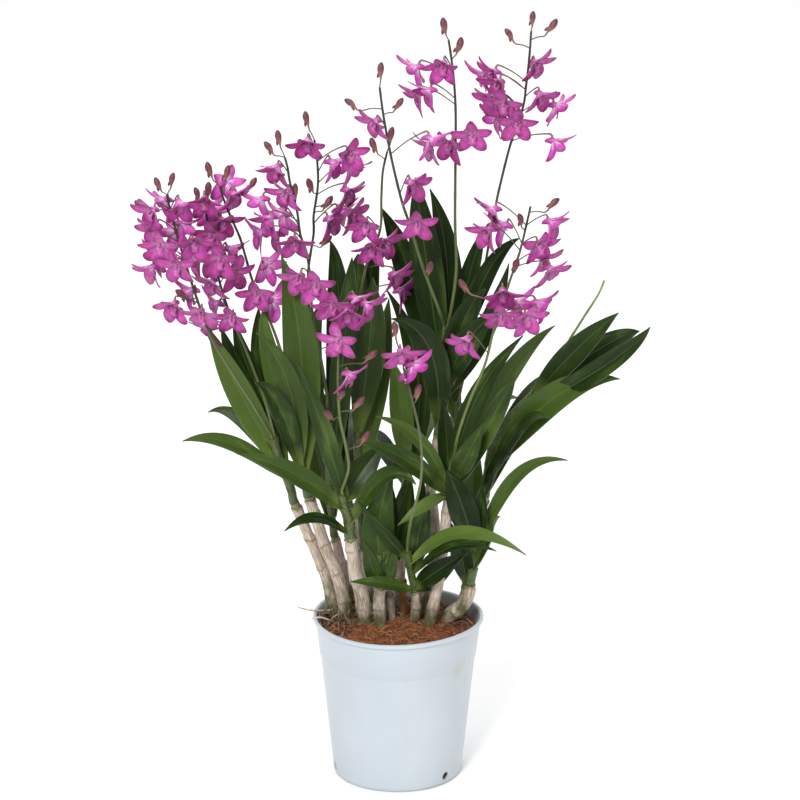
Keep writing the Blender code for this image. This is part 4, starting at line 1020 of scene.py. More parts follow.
root_skin, tree, shader = new_finish("root_skin", 0.7)
moss = mottle(tree, place_of(tree, (160.0, 160.0, 160.0)), 1.0, 4.0)
mossy = ramp(
    tree, moss, (0.34, (0.060, 0.055, 0.020)), (0.52, (0.16, 0.105, 0.055)), (0.72, (0.33, 0.24, 0.15)),
)
set_colour(tree, shader, mossy)
set_bump(tree, shader, moss, 0.8, 0.0006)

white_root, tree, shader = new_finish("white_root", 0.6)
chalk = mottle(tree, place_of(tree, (200.0, 200.0, 200.0)), 1.0)
set_colour(tree, shader, ramp(tree, chalk, (0.3, (0.42, 0.29, 0.24)), (0.7, (0.66, 0.55, 0.50))))
print("medium finishes:", coir.name, crumb.name, bark.name, root_skin.name, white_root.name)

# %% [markdown]
# The pot is thin moulded plastic, pale blue-white and satin, with a slight unevenness that breaks up its
# gloss, a little grime that runs down it, and one pale yellow stain at its front right. The stain is the
# distance from its middle, made ragged by the same noise as the grime.

# %% The pot finish
STAIN_PLACE = (0.0445, -0.037, 0.088)
STAIN_SIZE = 0.009
STAIN_COLOUR = (0.42, 0.38, 0.24)
GRIME_COLOUR = (0.39, 0.41, 0.42)

pot_finish, tree, shader = new_finish("pot_plastic", 0.38, coat=0.1)
cloud = mottle(tree, place_of(tree, (14.0, 14.0, 9.0)), 1.0, 3.0)
colour = ramp(tree, cloud, (0.32, (0.44, 0.490, 0.535)), (0.70, (0.50, 0.550, 0.59)))
drip = mottle(tree, place_of(tree, (70.0, 70.0, 9.0)), 1.0, 4.0)
colour = blend_of(tree, fade(tree, drip, 0.58, 0.0, 0.80, 0.16), colour, GRIME_COLOUR)
away = tree.nodes.new("ShaderNodeVectorMath")
away.operation = "DISTANCE"
away.inputs[1].default_value = STAIN_PLACE
own_place = tree.nodes.new("ShaderNodeTexCoord")
tree.links.new(own_place.outputs["Object"], away.inputs[0])
patch = calc(tree, "DIVIDE", away.outputs["Value"], STAIN_SIZE)
patch = calc(tree, "ADD", patch, scaled(tree, centred(tree, drip), 1.6))
colour = blend_of(tree, fade(tree, patch, 0.2, 0.4, 1.0, 0.0), colour, STAIN_COLOUR)
set_colour(tree, shader, colour)
uneven = mottle(tree, place_of(tree, (45.0, 45.0, 30.0)), 1.0, 2.0)
set_bump(tree, shader, uneven, 0.15, 0.0008)
print("pot finish:", pot_finish.name)

# %% [markdown]
# The pot is moulded in one go, so its wall is thin, its lip is rolled outward and its edges are soft. A
# turned profile gives exactly that: a line of points is spun once round. The real rim is not quite round or
# level, and that small waver is what makes it look like a soft nursery pot. The three drain holes are cut
# afterwards.

# %% The pot
POT_SIDES = 144
POT_SHARP = 40.0
RIM_WAVER = 0.9
DRAIN_RADIUS = 3.0
DRAIN_HEIGHT = 6.5
DRAIN_REACH = 16.0
DRAIN_AZIMUTHS = (-43.0, 77.0, 197.0)
CLOSE = 0.01


def turned_shape(profile, sides):
    """A closed round shape, spun from a profile of radii and heights."""
    bm = new_shape()
    corners = [bm.verts.new((radius, 0.0, height)) for radius, height in profile]
    line = [bm.edges.new(pair) for pair in zip(corners, corners[1:])]
    bmesh.ops.spin(
        bm, geom=[*corners, *line], axis=UP, cent=(0.0, 0.0, 0.0), angle=2.0 * math.pi, steps=sides,
        use_merge=True,
    )
    bmesh.ops.remove_doubles(bm, verts=bm.verts, dist=CLOSE)
    bmesh.ops.recalc_face_normals(bm, faces=bm.faces)
    for face in bm.faces:
        face.smooth = True
    return bm


lip_inside = RIM_RADIUS - LIP_OUT - WALL
profile = [
    (0.0, FLOOR_THICKNESS),
    (wall_radius(0.0) - WALL - 4.0, FLOOR_THICKNESS),
    (wall_radius(4.0) - WALL - 1.0, FLOOR_THICKNESS + 0.7),
    (wall_radius(6.0) - WALL, 6.0),
    (wall_radius(45.0) - WALL, 45.0),
    (wall_radius(RING_HEIGHT) - WALL, RING_HEIGHT),
    (wall_radius(RING_HEIGHT + 1.0) - WALL, RING_HEIGHT + 1.5),
    (lip_inside, POT_HEIGHT - 4.0),
    (lip_inside + 0.35, POT_HEIGHT - 1.4),
    (lip_inside + 0.95, POT_HEIGHT - 0.35),
    (lip_inside + 1.7, POT_HEIGHT),
    (RIM_RADIUS - 0.75, POT_HEIGHT - 0.1),
    (RIM_RADIUS - 0.15, POT_HEIGHT - 0.6),
    (RIM_RADIUS, POT_HEIGHT - 1.4),
    (RIM_RADIUS - 0.05, POT_HEIGHT - 2.7),
    (RIM_RADIUS - 0.6, POT_HEIGHT - 3.3),
    (wall_radius(POT_HEIGHT) - 0.1, POT_HEIGHT - 4.2),
    (wall_radius(RING_HEIGHT + 1.0), RING_HEIGHT + 1.2),
    (wall_radius(RING_HEIGHT) + 0.25, RING_HEIGHT + 0.5),
    (wall_radius(RING_HEIGHT), RING_HEIGHT - 0.3),
    (wall_radius(45.0), 45.0),
    (wall_radius(3.0), 3.0),
    (wall_radius(1.0) - 0.2, 1.0),
    (BASE_RADIUS - 1.1, 0.15),
    (BASE_RADIUS - 2.4, 0.0),
    (0.0, 0.0),
]
bm = turned_shape(profile, POT_SIDES)
for vert in bm.verts:
    azimuth = math.atan2(vert.co.y, vert.co.x)
    share = (vert.co.z / POT_HEIGHT) ** 5
    swell = 1.0 + RIM_WAVER * share * math.sin(3.0 * azimuth + 0.6) / RIM_RADIUS
    sag = RIM_WAVER * share * (0.5 + 0.5 * math.sin(2.0 * azimuth + 0.4))
    vert.co = Vector((vert.co.x * swell, vert.co.y * swell, vert.co.z - sag))
pot = finish_piece(bm, "pot_shell", [pot_finish], "pot", "pot")

drills = bpy.data.collections.new("drills")
for azimuth in DRAIN_AZIMUTHS:
    heading = Vector((math.cos(math.radians(azimuth)), math.sin(math.radians(azimuth)), 0.0))
    bm = bmesh.new()
    bmesh.ops.create_cone(
        bm, cap_ends=True, segments=32, radius1=DRAIN_RADIUS, radius2=DRAIN_RADIUS, depth=DRAIN_REACH
    )
    aim = UP.rotation_difference(heading).to_matrix().to_4x4()
    middle = heading * wall_radius(DRAIN_HEIGHT) + UP * DRAIN_HEIGHT
    bmesh.ops.transform(bm, matrix=Matrix.Scale(MM, 4) @ Matrix.Translation(middle) @ aim, verts=bm.verts)
    mesh = bpy.data.meshes.new("drill")
    bm.to_mesh(mesh)
    bm.free()
    drills.objects.link(bpy.data.objects.new("drill", mesh))
bore = pot.modifiers.new("drain_holes", "BOOLEAN")
bore.operation = "DIFFERENCE"
bore.operand_type = "COLLECTION"
bore.collection = drills
bore.solver = "EXACT"
cut_pot = pot.evaluated_get(bpy.context.evaluated_depsgraph_get())
bored = bpy.data.meshes.new_from_object(cut_pot)
pot.modifiers.clear()
pot.data = bored
bored.set_sharp_from_angle(angle=math.radians(POT_SHARP))
for drill in list(drills.objects):
    bpy.data.objects.remove(drill)
bpy.data.collections.remove(drills)
print("pot:", triangles(pot), "triangles")

# %% [markdown]
# Under the loose fibre lies a crumbly mound. It is turned like the pot, and then every point of its top is
# set to the height of the uneven mound, with finer and finer noise added. It fills the pot to its floor, as
# the real medium does.

# %% The mound
MOUND_SIDES = 120
RING_STEP = 2.0

low = wall_radius(FLOOR_THICKNESS) - WALL - 0.5
high = wall_radius(SOIL_EDGE) - WALL - 0.4
rings = round(high / RING_STEP)
profile = [(0.0, FLOOR_THICKNESS + GAP), (low, FLOOR_THICKNESS + GAP)]
profile += [(high * (1.0 - ring / rings), SOIL_EDGE) for ring in range(rings + 1)]
bm = turned_shape(profile, MOUND_SIDES)


def crumb_height(x, y):
    """Height of the crumbly mound with its finer lumps."""
    spot = Vector((x, y, 0.0))
    return soil_height(x, y) + 0.9 * noise.noise(spot / 3.5) + 0.5 * noise.noise(spot / 1.6)


for vert in bm.verts:
    if vert.co.z > SOIL_EDGE - 1.0:
        vert.co.z = crumb_height(vert.co.x, vert.co.y)
mound = finish_piece(bm, "mound", [crumb], "medium", "growing_medium")
print("mound:", triangles(mound), "triangles")

# %% [markdown]
# Bark chips lie at the back and round the sides. Each starts as a ball of small faces that is squared off,
# pushed about by noise so that it looks split and worn, and pressed flat. The seven largest are also in the
# solid model and keep their places.

# %% The bark chips
BIG_CHIPS = [(-50, 16), (-42, 32), (-6, 48), (10, 46), (40, 36), (50, 6), (47, 20)]
SMALL_CHIPS = 34
CHIP_SQUARENESS = 0.45


def chip_turn(draw, tip):
    """Any way round, and tipped at most by an angle."""
    swing = Matrix.Rotation(draw.uniform(0, math.pi), 4, "Z")
    return swing @ Matrix.Rotation(draw.uniform(-tip, tip), 4, "X")


def lay_chip(bm, place, turn, stretch, ragged):
    """One split chip of bark."""
    points = bmesh.ops.create_icosphere(bm, subdivisions=3, radius=0.5)["verts"]
    for vert in points:
        squared = [0.5 * (2.0 * abs(number)) ** CHIP_SQUARENESS for number in vert.co]
        vert.co = Vector([math.copysign(size, number) for size, number in zip(squared, vert.co)])
        spot = vert.co * 2.2 + Vector(place)
        push = Vector([noise.noise(spot + shift) for shift in (Vector(), FRONT * 9.0, UP * 9.0)])
        vert.co += push * ragged
        vert.co.z *= 1.0 - 0.5 * abs(vert.co.x)
    bmesh.ops.transform(bm, matrix=Matrix.Translation(place) @ turn @ stretch, verts=points)
    for face in {face for vert in points for face in vert.link_faces}:
        face.smooth = True


bm = new_shape()
draw = random.Random(11)
for x, y in BIG_CHIPS:
    size = Matrix.Diagonal((draw.uniform(10, 14), draw.uniform(7, 9), draw.uniform(6, 8), 1.0))
    lay_chip(bm, (x * 0.9, y * 0.9, soil_height(x, y) + 1.0), chip_turn(draw, 0.5), size, 0.16)
for _ in range(SMALL_CHIPS):
    azimuth = math.radians(draw.uniform(-12.0, 235.0))
    radius = draw.uniform(20.0, 49.0)
    x, y = radius * math.cos(azimuth), radius * math.sin(azimuth)
    size = Matrix.Diagonal((draw.uniform(5, 10), draw.uniform(3, 6), draw.uniform(2, 4), 1.0))
    lay_chip(bm, (x, y, soil_height(x, y) + 0.8), chip_turn(draw, 0.7), size, 0.18)
chips = finish_piece(bm, "bark_chips", [bark], "medium")
print("bark:", triangles(chips), "triangles")

# %% [markdown]
# Loose coir is thousands of thin bent hairs. Each one here is a three-sided thread along a short wandering
# route that starts on the mound, arches a little and comes down again. They lie thickest in front, where the
# photograph shows open, orange-brown coir, and are made in bunches so that no shape grows too large to
# handle.

# %% The coir fibres
BUNCHES = 6
FIBRES = 640
FIBRE_STEPS = 6
IN_FRONT = 0.72
INNER_EDGE = wall_radius(SOIL_EDGE) - WALL - 1.0


def coir_route(draw, front):
    """A wandering thread over the mound."""
    azimuth = math.radians(draw.uniform(-165.0, -15.0) if front else draw.uniform(0.0, 360.0))
    radius = INNER_EDGE * math.sqrt(draw.uniform(0.02, 1.0))
    spot = Vector((radius * math.cos(azimuth), radius * math.sin(azimuth), 0.0))
    heading = draw.uniform(0.0, 2.0 * math.pi)
    curl = draw.uniform(-0.45, 0.45)
    lift = draw.uniform(0.2, 3.0)
    stride = draw.uniform(1.0, 3.4)
    route = []
    for step in range(FIBRE_STEPS + 1):
        arch = lift * math.sin(math.pi * step / FIBRE_STEPS)
        route.append(Vector((spot.x, spot.y, soil_height(spot.x, spot.y) + 0.2 + arch)))
        heading += curl + draw.uniform(-0.25, 0.25)
        onward = spot + Vector((math.cos(heading), math.sin(heading), 0.0)) * stride
        if onward.length > INNER_EDGE:
            onward = onward.normalized() * (INNER_EDGE - draw.uniform(0.0, 1.5))
        spot = onward + Vector((draw.uniform(-0.2, 0.2), draw.uniform(-0.2, 0.2), 0.0))
    return route


for bunch in range(BUNCHES):
    draw = random.Random(f"coir {bunch}")
    bm = new_shape()
    for _ in range(FIBRES):
        route = coir_route(draw, front=draw.random() < IN_FRONT)
        girth = draw.uniform(0.10, 0.26)
        girths = [girth * (1.0 - 0.5 * abs(step / 3.0 - 1.0)) for step in range(FIBRE_STEPS + 1)]
        lay_tube(bm, route, girths, 3, draw.betavariate(2.2, 2.0))
    fibres = finish_piece(bm, f"coir_{bunch}", [coir], "medium")
print("coir:", triangles(fibres), "triangles in each bunch")

# %% [markdown]
# A cane is the orchid's water store: a slim ringed stem, a little thicker at each joint. Dead leaf sheaths
# wrap it from joint to joint, each a thin papery sleeve that has come loose at its torn upper edge. So a
# cane is a fine round stem, and over it go sleeves with a ragged edge, thickened to the thickness of paper.
# Three canes are bare from a share of their length upward.

# %% The canes
JOINT_STEP = 25.0
JOINT_SWELL = 0.10
JOINT_SPREAD = 2.4
CANE_TAPER = 0.18
CANE_SIDES = 24
ROUTE_STEP = 2.5
PAPER = 0.25
TEARS = 9
TEAR_DEPTH = 3.0
SHEATH_END = 0.985
BARE_FROM = {"right_low": 0.75, "tall_centre": 0.97, "centre_low": 0.9}


def cane_girth(radius, share, length):
    """Radius of a cane at a share of its length."""
    off_joint = (share * length + JOINT_STEP / 2) % JOINT_STEP - JOINT_STEP / 2
    swell = JOINT_SWELL * math.exp(-(off_joint / JOINT_SPREAD) ** 2)
    return radius * (1.0 - CANE_TAPER * share) * (1.0 + swell)


def route_length(route):
    """How long a route is."""
    return sum((stop - start).length for start, stop in zip(route, route[1:]))


def lay_sheath(bm, route, radius, low, high, draw, slot):
    """A papery sleeve round a cane between two shares of its length, ragged at its upper edge."""
    frames = carried_frames(route)
    length = route_length(route)
    last = len(route) - 1
    tears = [draw.uniform(-1.0, 0.3) for _ in range(TEARS)]
    flare = draw.uniform(0.05, 0.45)
    phase = draw.uniform(0.0, 6.3)

    def place(u, v):
        angle = 2.0 * math.pi * u + phase
        spot = TEARS * (u % 1.0)
        first = int(spot) % TEARS
        tear = tears[first] + (tears[(first + 1) % TEARS] - tears[first]) * (spot - int(spot))
        share = min(0.999, low + (high - low) * v + tear * TEAR_DEPTH / length * v ** 4)
        number = share * last
        near = min(int(number), last - 1)
        middle = route[near].lerp(route[near + 1], number - near)
        side, lift = frames[near]
        loose = 0.32 + flare * v ** 4 + 0.10 * math.sin(3.0 * angle + 5.0 * v)
        out = side * math.cos(angle) + lift * math.sin(angle)
        return middle + out * (cane_girth(radius, share, length) + loose)

    lay_grid(bm, 22, 9, place, draw.random(), thickness=PAPER, closed=True, slot=slot)


canes = {}
for name, plan in STEMS.items():
    draw = random.Random(f"cane {name}")
    knots = [seen(*knot) for knot in plan["cane"]]
    route = smooth_route([buried(*plan["foot"], knots[0]), *knots], ROUTE_STEP)
    last = len(route) - 1
    length = route_length(route)
    bm = new_shape()
    girths = [cane_girth(plan["cane_radius"], number / last, length) for number in range(last + 1)]
    lay_tube(bm, route, girths, CANE_SIDES, draw.random())
    joints = [number * JOINT_STEP / length for number in range(1 + int(length / JOINT_STEP))]
    for low, high in zip(joints, [*joints[1:], SHEATH_END]):
        if low < BARE_FROM.get(name, 1.0) and (high - low) * length > 4.0:
            lay_sheath(bm, route, plan["cane_radius"], low, min(high + 0.02, SHEATH_END), draw, 1)
    piece = finish_piece(bm, f"cane_piece_{name}", [cane_skin, sheath], "cane", f"cane_{name}")
    canes[name] = route
    print(name, triangles(piece), end="; ")

# %% [markdown]
# Two dead canes stand as short stumps, one grey and one orange-brown, wrapped in old torn sheaths. A thick
# pale root comes out of the clump and over the rim at the left, a second lies below it, and a mat of fine
# brown roots lies round the feet of the left canes.

# %% The stumps and the roots
STUMPS = {
    "grey": ((-4, -4), (-6, 134, -7), 3.2),
    "orange": ((4, 3), (4, 143, 1), 2.4),
}
ROOT_KNOTS = [(-45, 120, 13), (-52, 119, 7), (-60.5, 119.4, 0), (-66, 120.5, -2), (-71, 122, -3)]
LOW_ROOT_KNOTS = [(-60, 113, -6), (-54, 114, -8), (-46, 111, -6)]
ROOT_MAT = 110
ROOT_STEPS = 9
ROOT_STRIDE = 2.4

for name, (foot, tip, radius) in STUMPS.items():
    draw = random.Random(f"stump {name}")
    tip = seen(*tip)
    route = smooth_route([buried(*foot, tip), tip], 2.0)
    last = len(route) - 1
    bm = new_shape()
    girths = [radius * (1.0 - 0.5 * (number / last) ** 2) for number in range(last + 1)]
    lay_tube(bm, route, girths, 20, 0.9)
    for low, high in ((0.05, 0.55), (0.4, 0.97)):
        lay_sheath(bm, route, radius * 0.95, low, high, draw, 1)
    cover = orange_sheath if name == "orange" else grey_sheath
    piece = finish_piece(bm, f"stump_piece_{name}", [cover, cover], "stump", f"stump_{name}")
    print("stump", name, triangles(piece), end="; ")

bm = new_shape()
for knots in (ROOT_KNOTS, LOW_ROOT_KNOTS):
    route = smooth_route([seen(*knot) for knot in knots], 1.5)
    last = len(route) - 1
    lay_tube(bm, route, [0.85 - 0.35 * number / last for number in range(last + 1)], 10)
roots = finish_piece(bm, "pale_roots", [white_root], "cane")

bm = new_shape()
draw = random.Random("roots")
for _ in range(ROOT_MAT):
    spot = Vector((draw.gauss(-33.0, 11.0), draw.gauss(6.0, 9.0), 0.0))
    heading = draw.uniform(0.0, 2.0 * math.pi)
    rise = draw.uniform(1.0, 12.0)
    route = []
    for step in range(ROOT_STEPS + 1):
        if spot.length > INNER_EDGE:
            spot = spot.normalized() * INNER_EDGE
        height = soil_height(spot.x, spot.y) - 0.5 + rise * math.sin(math.pi * step / ROOT_STEPS)
        route.append(Vector((spot.x, spot.y, height)))
        heading += draw.uniform(-0.7, 0.7)
        spot = spot + Vector((math.cos(heading), math.sin(heading), 0.0)) * ROOT_STRIDE
    girth = draw.uniform(0.22, 0.62)
    lay_tube(bm, route, [girth] * len(route), 6, draw.random())
mat = finish_piece(bm, "root_mat", [root_skin], "medium")
print("roots:", triangles(roots) + triangles(mat), "triangles")

# %% [markdown]
# A leaf here is thick and stiff. It is one bent strip: its middle line is a simple curve through a base, a
# bend and a tip, it folds up a little along its rib, and it wraps round the stem at its foot. Its outline is
# a sine that is stretched so that the widest place lies below the middle. The strip is then thickened, and
# its lower side takes the paler finish. Between the leaves, green sheaths clasp the stem, made like the
# papery ones. A few leaves that stand out in the photograph have a shade of their own, and ten leaves fill
# places where the photograph shows green and the solid model has no leaf.

# %% The leafy tops
LEAF_COLUMNS = 12
LEAF_ROWS = 34
LEAF_THICKNESS = 0.8
LEAF_FOLD = 0.14
LEAF_TWIST = 14.0
TOP_STEP = 3.0
CROWN_RADIUS = 2.5
CLASP_STEP = 13.0
CLASP_REACH = 0.14
LEAF_SHADES = {
    "leaf_centre_shoot_2": 0.98, "leaf_right_front_7": 0.96, "leaf_left_outer_0": 0.86,
    "leaf_right_low_1": 0.84, "leaf_left_front_0": 0.75, "leaf_tall_centre_0": 0.05,
    "leaf_tall_centre_1": 0.15, "leaf_tall_centre_2": 0.10, "leaf_tall_centre_7": 0.10,
    "leaf_centre_back_0": 0.10, "leaf_centre_shoot_1": 0.10,
}
MORE_LEAVES = {
    "left_outer": [(0.62, (-107, 288, 8), (-121, 327, 12), 13, 12)],
    "tall_centre": [(0.42, (60, 326, -4), (76, 372, -4), 14, 10)],
    "centre_low": [
        (0.90, (-7, 188, -14), (-5, 217, -10), 14, 15),
        (0.05, (-18, 152, -27), (-24, 172, -30), 12, 5),
        (0.05, (-6, 152, -24), (-1, 174, -24), 12, 5),
    ],
    "centre_shoot": [
        (0.65, (15, 184, -4), (18, 217, 2), 14, 12),
        (0.10, (27, 147, -12), (46, 160, -14), 16, 15),
    ],
    "right_low": [(0.20, (44, 162, -12), (36, 186, -18), 14, 15)],
    "back_centre": [(0.85, (2, 272, 16), (-4, 304, 10), 16, 8)],
    "centre_back": [(0.85, (-27, 350, 30), (-27, 379, 34), 15, 10)],
}


def lay_leaf(bm, name, base, middle, tip, width, turn):
    """One blade of a leafy top."""
    draw = random.Random(name)
    bend = 2 * middle - (base + tip) / 2
    twist = math.radians(draw.uniform(-LEAF_TWIST, LEAF_TWIST))
    slant = math.radians(turn)
    wave = draw.uniform(-0.5, 0.5)
    phase = draw.uniform(0.0, 6.3)
    face = Vector((0.0, -math.cos(slant), math.sin(slant)))

    def place(u, v):
        s = 2.0 * u - 1.0
        spot = base * (1 - v) ** 2 + bend * 2 * v * (1 - v) + tip * v ** 2
        along = ((bend - base) * (1 - v) + (tip - bend) * v).normalized()
        normal = (face - along * face.dot(along)).normalized()
        normal.rotate(Matrix.Rotation(twist * v, 3, along))
        across = along.cross(normal)
        half = width / 2 * max(0.02, math.sin(math.pi * min(1.0, 0.94 * v + 0.06) ** 0.86))
        clasp = max(0.0, 1.0 - v / CLASP_REACH) ** 2
        rise = LEAF_FOLD * 2.0 * half * abs(s) ** 1.1 + clasp * half * 0.9 * s * s
        rise += wave * half * 0.10 * s * s * math.sin(7.0 * v + phase + (1.5 if s > 0 else 0.0))
        return spot + across * half * s * (1.0 - 0.3 * clasp) + normal * rise

    shade = LEAF_SHADES.get(name, draw.random())
    lay_grid(bm, LEAF_COLUMNS, LEAF_ROWS, place, shade, thickness=LEAF_THICKNESS, under=1)


tops = {}
for name, plan in STEMS.items():
    route = canes[name]
    heading = (route[-1] - route[-2]).normalized()
    knots = [route[-1] + heading * 2.0, *(seen(*knot) for knot in plan["top"])]
    points = [route[-1] + heading * GAP, *smooth_route(knots, TOP_STEP)]
    last = len(points) - 1
    start = plan["cane_radius"] * 0.82 * 0.88
    bm = new_shape()
    girths = [start + (CROWN_RADIUS - start) * number / last for number in range(last + 1)]
    lay_tube(bm, points, girths, 14, slot=2)
    length = route_length(points)
    draw = random.Random(f"top {name}")
    claspers = max(1, round(length / CLASP_STEP))
    for number in range(claspers):
        low = number / claspers
        girth = start + (CROWN_RADIUS - start) * low
        lay_sheath(bm, points, girth / (1.0 - CANE_TAPER * low), low + 0.01, low + 1.12 / claspers, draw, 2)
    coarse = [points[0], *smooth_route(knots, 14.0)]
    leaves = [*plan["leaves"], *MORE_LEAVES.get(name, [])]
    for number, (share, middle, tip, width, turn) in enumerate(leaves):
        base, along = station(coarse, share)
        middle = seen(*middle)
        outward = middle - base
        outward = (outward - along * outward.dot(along)).normalized()
        lay_leaf(bm, f"leaf_{name}_{number}", base + outward * 2.0, middle, seen(*tip), width, turn)
    finishes = [leaf_top, leaf_under, green_stem]
    piece = finish_piece(bm, f"leaves_{name}", finishes, "leaf", f"leafy_top_{name}")
    tops[name] = (coarse[-1], (coarse[-1] - coarse[-2]).normalized())
    print(name, triangles(piece), end="; ")

# %% [markdown]
# A flower of this orchid hangs from its hooked stalk like a half-open bell. It has three sepals and two
# petals, all long, blunt and much alike, that leave the heart steeply and then flare; a small lip in the
# middle; a short column above the lip; and behind, where the lower sepals join, a stout spur. Each petal is
# a strip whose middle line bends from a steep angle at the heart to a flat one at the tip. No two flowers
# open quite alike. The table gives each petal its direction in degrees, its length and its width.

# %% The flower
TEPAL_COLUMNS = 8
TEPAL_ROWS = 9
PETAL_THICKNESS = 0.35
PETAL_TIP = 0.22
TEPALS = {90: (15.4, 7.7), 20: (15.0, 7.1), 160: (15.0, 7.1), 304: (15.8, 9.2), 236: (15.8, 9.2)}
HEART = 1.5
HEART_BEHIND = 3.6
LIP_REACH = 8.4
COLUMN = ((0.0, 0.0), (2.0, 0.5), (4.2, 0.7), (5.2, 0.2))
COLUMN_GIRTHS = (1.3, 1.15, 1.2, 0.7)
SPUR = ((1.6, 0.0), (0.2, -0.4), (-1.4, -1.6), (-2.6, -3.2), (-3.2, -4.6))
SPUR_GIRTHS = (2.6, 2.5, 2.1, 1.5, 0.7)


def lay_tepal(bm, centre, turned, around, length, width, lean, flare, cup, curl, shade):
    """One petal or sepal, curving out from the flower's heart."""
    outward = turned @ Vector((math.cos(around), math.sin(around), 0.0))
    across = turned @ Vector((-math.sin(around), math.cos(around), 0.0))
    forward = turned.col[2]
    line = [(HEART, 0.3, lean)]
    for step in range(TEPAL_ROWS):
        angle = lean + (flare - lean) * (step + 0.5) / TEPAL_ROWS
        out, rise, _ = line[-1]
        stride = length / TEPAL_ROWS
        line.append((out + math.sin(angle) * stride, rise + math.cos(angle) * stride, angle))

    def place(u, v):
        s = 1.0 - 2.0 * u
        out, rise, angle = line[round(v * TEPAL_ROWS)]
        outline = 0.46 * (1.0 - v) ** 3 + math.sin(math.pi * v ** 1.05) ** 0.56
        half = width / 2 * max(PETAL_TIP, outline)
        normal = forward * math.sin(angle) - outward * math.cos(angle)
        lift = cup * half * (s * s - 0.3) - 0.07 * half * math.exp(-(s / 0.2) ** 2)
        lift += curl * half * s * v * v
        return centre + outward * out + forward * rise + across * half * s + normal * lift

    lay_grid(bm, TEPAL_COLUMNS, TEPAL_ROWS, place, shade, thickness=PETAL_THICKNESS, slot=0, under=1)


def lay_lip(bm, centre, turned, droop, shade):
    """The lip: raised side lobes near its foot and a small round lobe that turns down."""
    right, upright, forward = turned.col[0], turned.col[1], turned.col[2]

    def place(u, v):
        s = 1.0 - 2.0 * u
        angle = droop * (v - 0.25)
        half = 1.2 + 2.3 * math.exp(-((v - 0.42) / 0.20) ** 2) + 1.8 * math.exp(-((v - 0.84) / 0.13) ** 2)
        half *= max(0.05, 1.0 - max(0.0, v - 0.9) / 0.1 * 0.7)
        raised = 2.4 * s * s * math.exp(-((v - 0.40) / 0.22) ** 2) + 0.5 * math.sin(9.0 * u) * v * v
        reach = LIP_REACH * v
        drop = -1.6 - 2.6 * v - reach * 0.35 * math.sin(max(0.0, angle))
        ahead = 0.6 + reach * math.cos(max(0.0, angle) * 0.8)
        return centre + right * s * half + upright * (drop + raised) + forward * ahead

    lay_grid(bm, 8, 9, place, shade, thickness=PETAL_THICKNESS, slot=2)


def lay_flower(bm, centre, forward, draw):
    """A whole bloom that faces a direction."""
    right = forward.cross(UP).normalized()
    turned = Matrix((right, right.cross(forward), forward)).transposed()
    openness = draw.uniform(0.0, 1.0)
    shade = draw.random()
    for around, (length, width) in TEPALS.items():
        lean = math.radians(34.0 + 26.0 * openness + draw.uniform(-8.0, 8.0))
        flare = math.radians(74.0 + 26.0 * openness + draw.uniform(-12.0, 12.0))
        long = length * draw.uniform(0.92, 1.04)
        angle = math.radians(around + draw.uniform(-7.0, 7.0))
        curl = draw.uniform(-0.5, 0.5)
        cup = draw.uniform(0.05, 0.45)
        lay_tepal(bm, centre, turned, angle, long, width, lean, flare, cup, curl, shade)
    lay_lip(bm, centre, turned, draw.uniform(0.9, 1.6), shade)
    upright = turned.col[1]
    column = [centre + forward * reach + upright * rise for reach, rise in COLUMN]
    lay_tube(bm, column, COLUMN_GIRTHS, 8, 0.2, slot=2)
    spur = [centre + forward * reach + upright * rise for reach, rise in SPUR]
    lay_tube(bm, spur, SPUR_GIRTHS, 10, shade, slot=1)


print("a flower has", len(TEPALS), "petals and sepals of", TEPAL_COLUMNS * TEPAL_ROWS, "faces a side")

# %% [markdown]
# Each stalk is thin and stiff and bends a little at every flower. Its flowers sit on small stalks of their
# own that rise and then hook over, so the blooms nod. The buds stand nearer the tip. A bud is a small
# spindle with the start of the spur at its foot, a full middle and a narrow point. The solid model has room
# for the blooms that shape each spray, and 29 more fill the dense places, joined to the same stalks.

# %% The sprays
STALK_RADIUS = 0.95
STALK_STEP = 4.0
PEDICEL_RADIUS = 0.42
PEDICEL_STEP = 1.5
FLOWER_DROP = 5.0
BUD_DROP = 8.0
GREEN_SHADE = 0.9
DARK_SHADE = 0.3
GREEN_STALKS = ("front_low", "front_right", "right", "centre")
MORE_FLOWERS = {
    "far_left": [(-168, 408, -16), (-145, 398, 4), (-162, 384, -20), (-169, 367, -4), (-143, 352, 4)],
    "left_mass": [(-118, 400, -4), (-131, 415, -14), (-131, 324, 0), (-121, 374, -22), (-126, 343, 6)],
    "left": [(-116, 428, 6)],
    "left_middle": [(-79, 405, 6), (-95, 393, -6)],
    "middle": [(-32, 448, -14), (-30, 406, -20)],
    "front_low": [(-19, 341, -14)],
    "centre": [(-7, 386, -2), (4, 352, 0)],
    "top_centre": [(34, 454, -10), (12, 488, 10), (20, 453, 4)],
    "top_right": [(71, 482, -16), (66, 496, -12), (55, 501, 8)],
    "right": [(97, 384, -12), (70, 398, 8), (106, 366, -10), (89, 333, -12)],
    "front_right": [(12, 298, 4)],
}
BUD_GIRTHS = (0.8, 1.4, 1.9, 2.25, 2.4, 2.25, 1.7, 0.75)
BUD_LENGTH = 10.0


def lay_pedicel(bm, anchor, end, into, girth):
    """The small stalk of a flower or bud, which reaches its end along a direction."""
    hook = end - into * min(3.6, (end - anchor).length * 0.3)
    bow = anchor.lerp(hook, 0.5) + UP * (hook - anchor).length * 0.06
    route = smooth_route([anchor, bow, hook, end], PEDICEL_STEP)
    last = len(route) - 1
    widening = girth - PEDICEL_RADIUS
    girths = [PEDICEL_RADIUS + widening * (number / last) ** 4 for number in range(last + 1)]
    lay_tube(bm, route, girths, 7, slot=1)


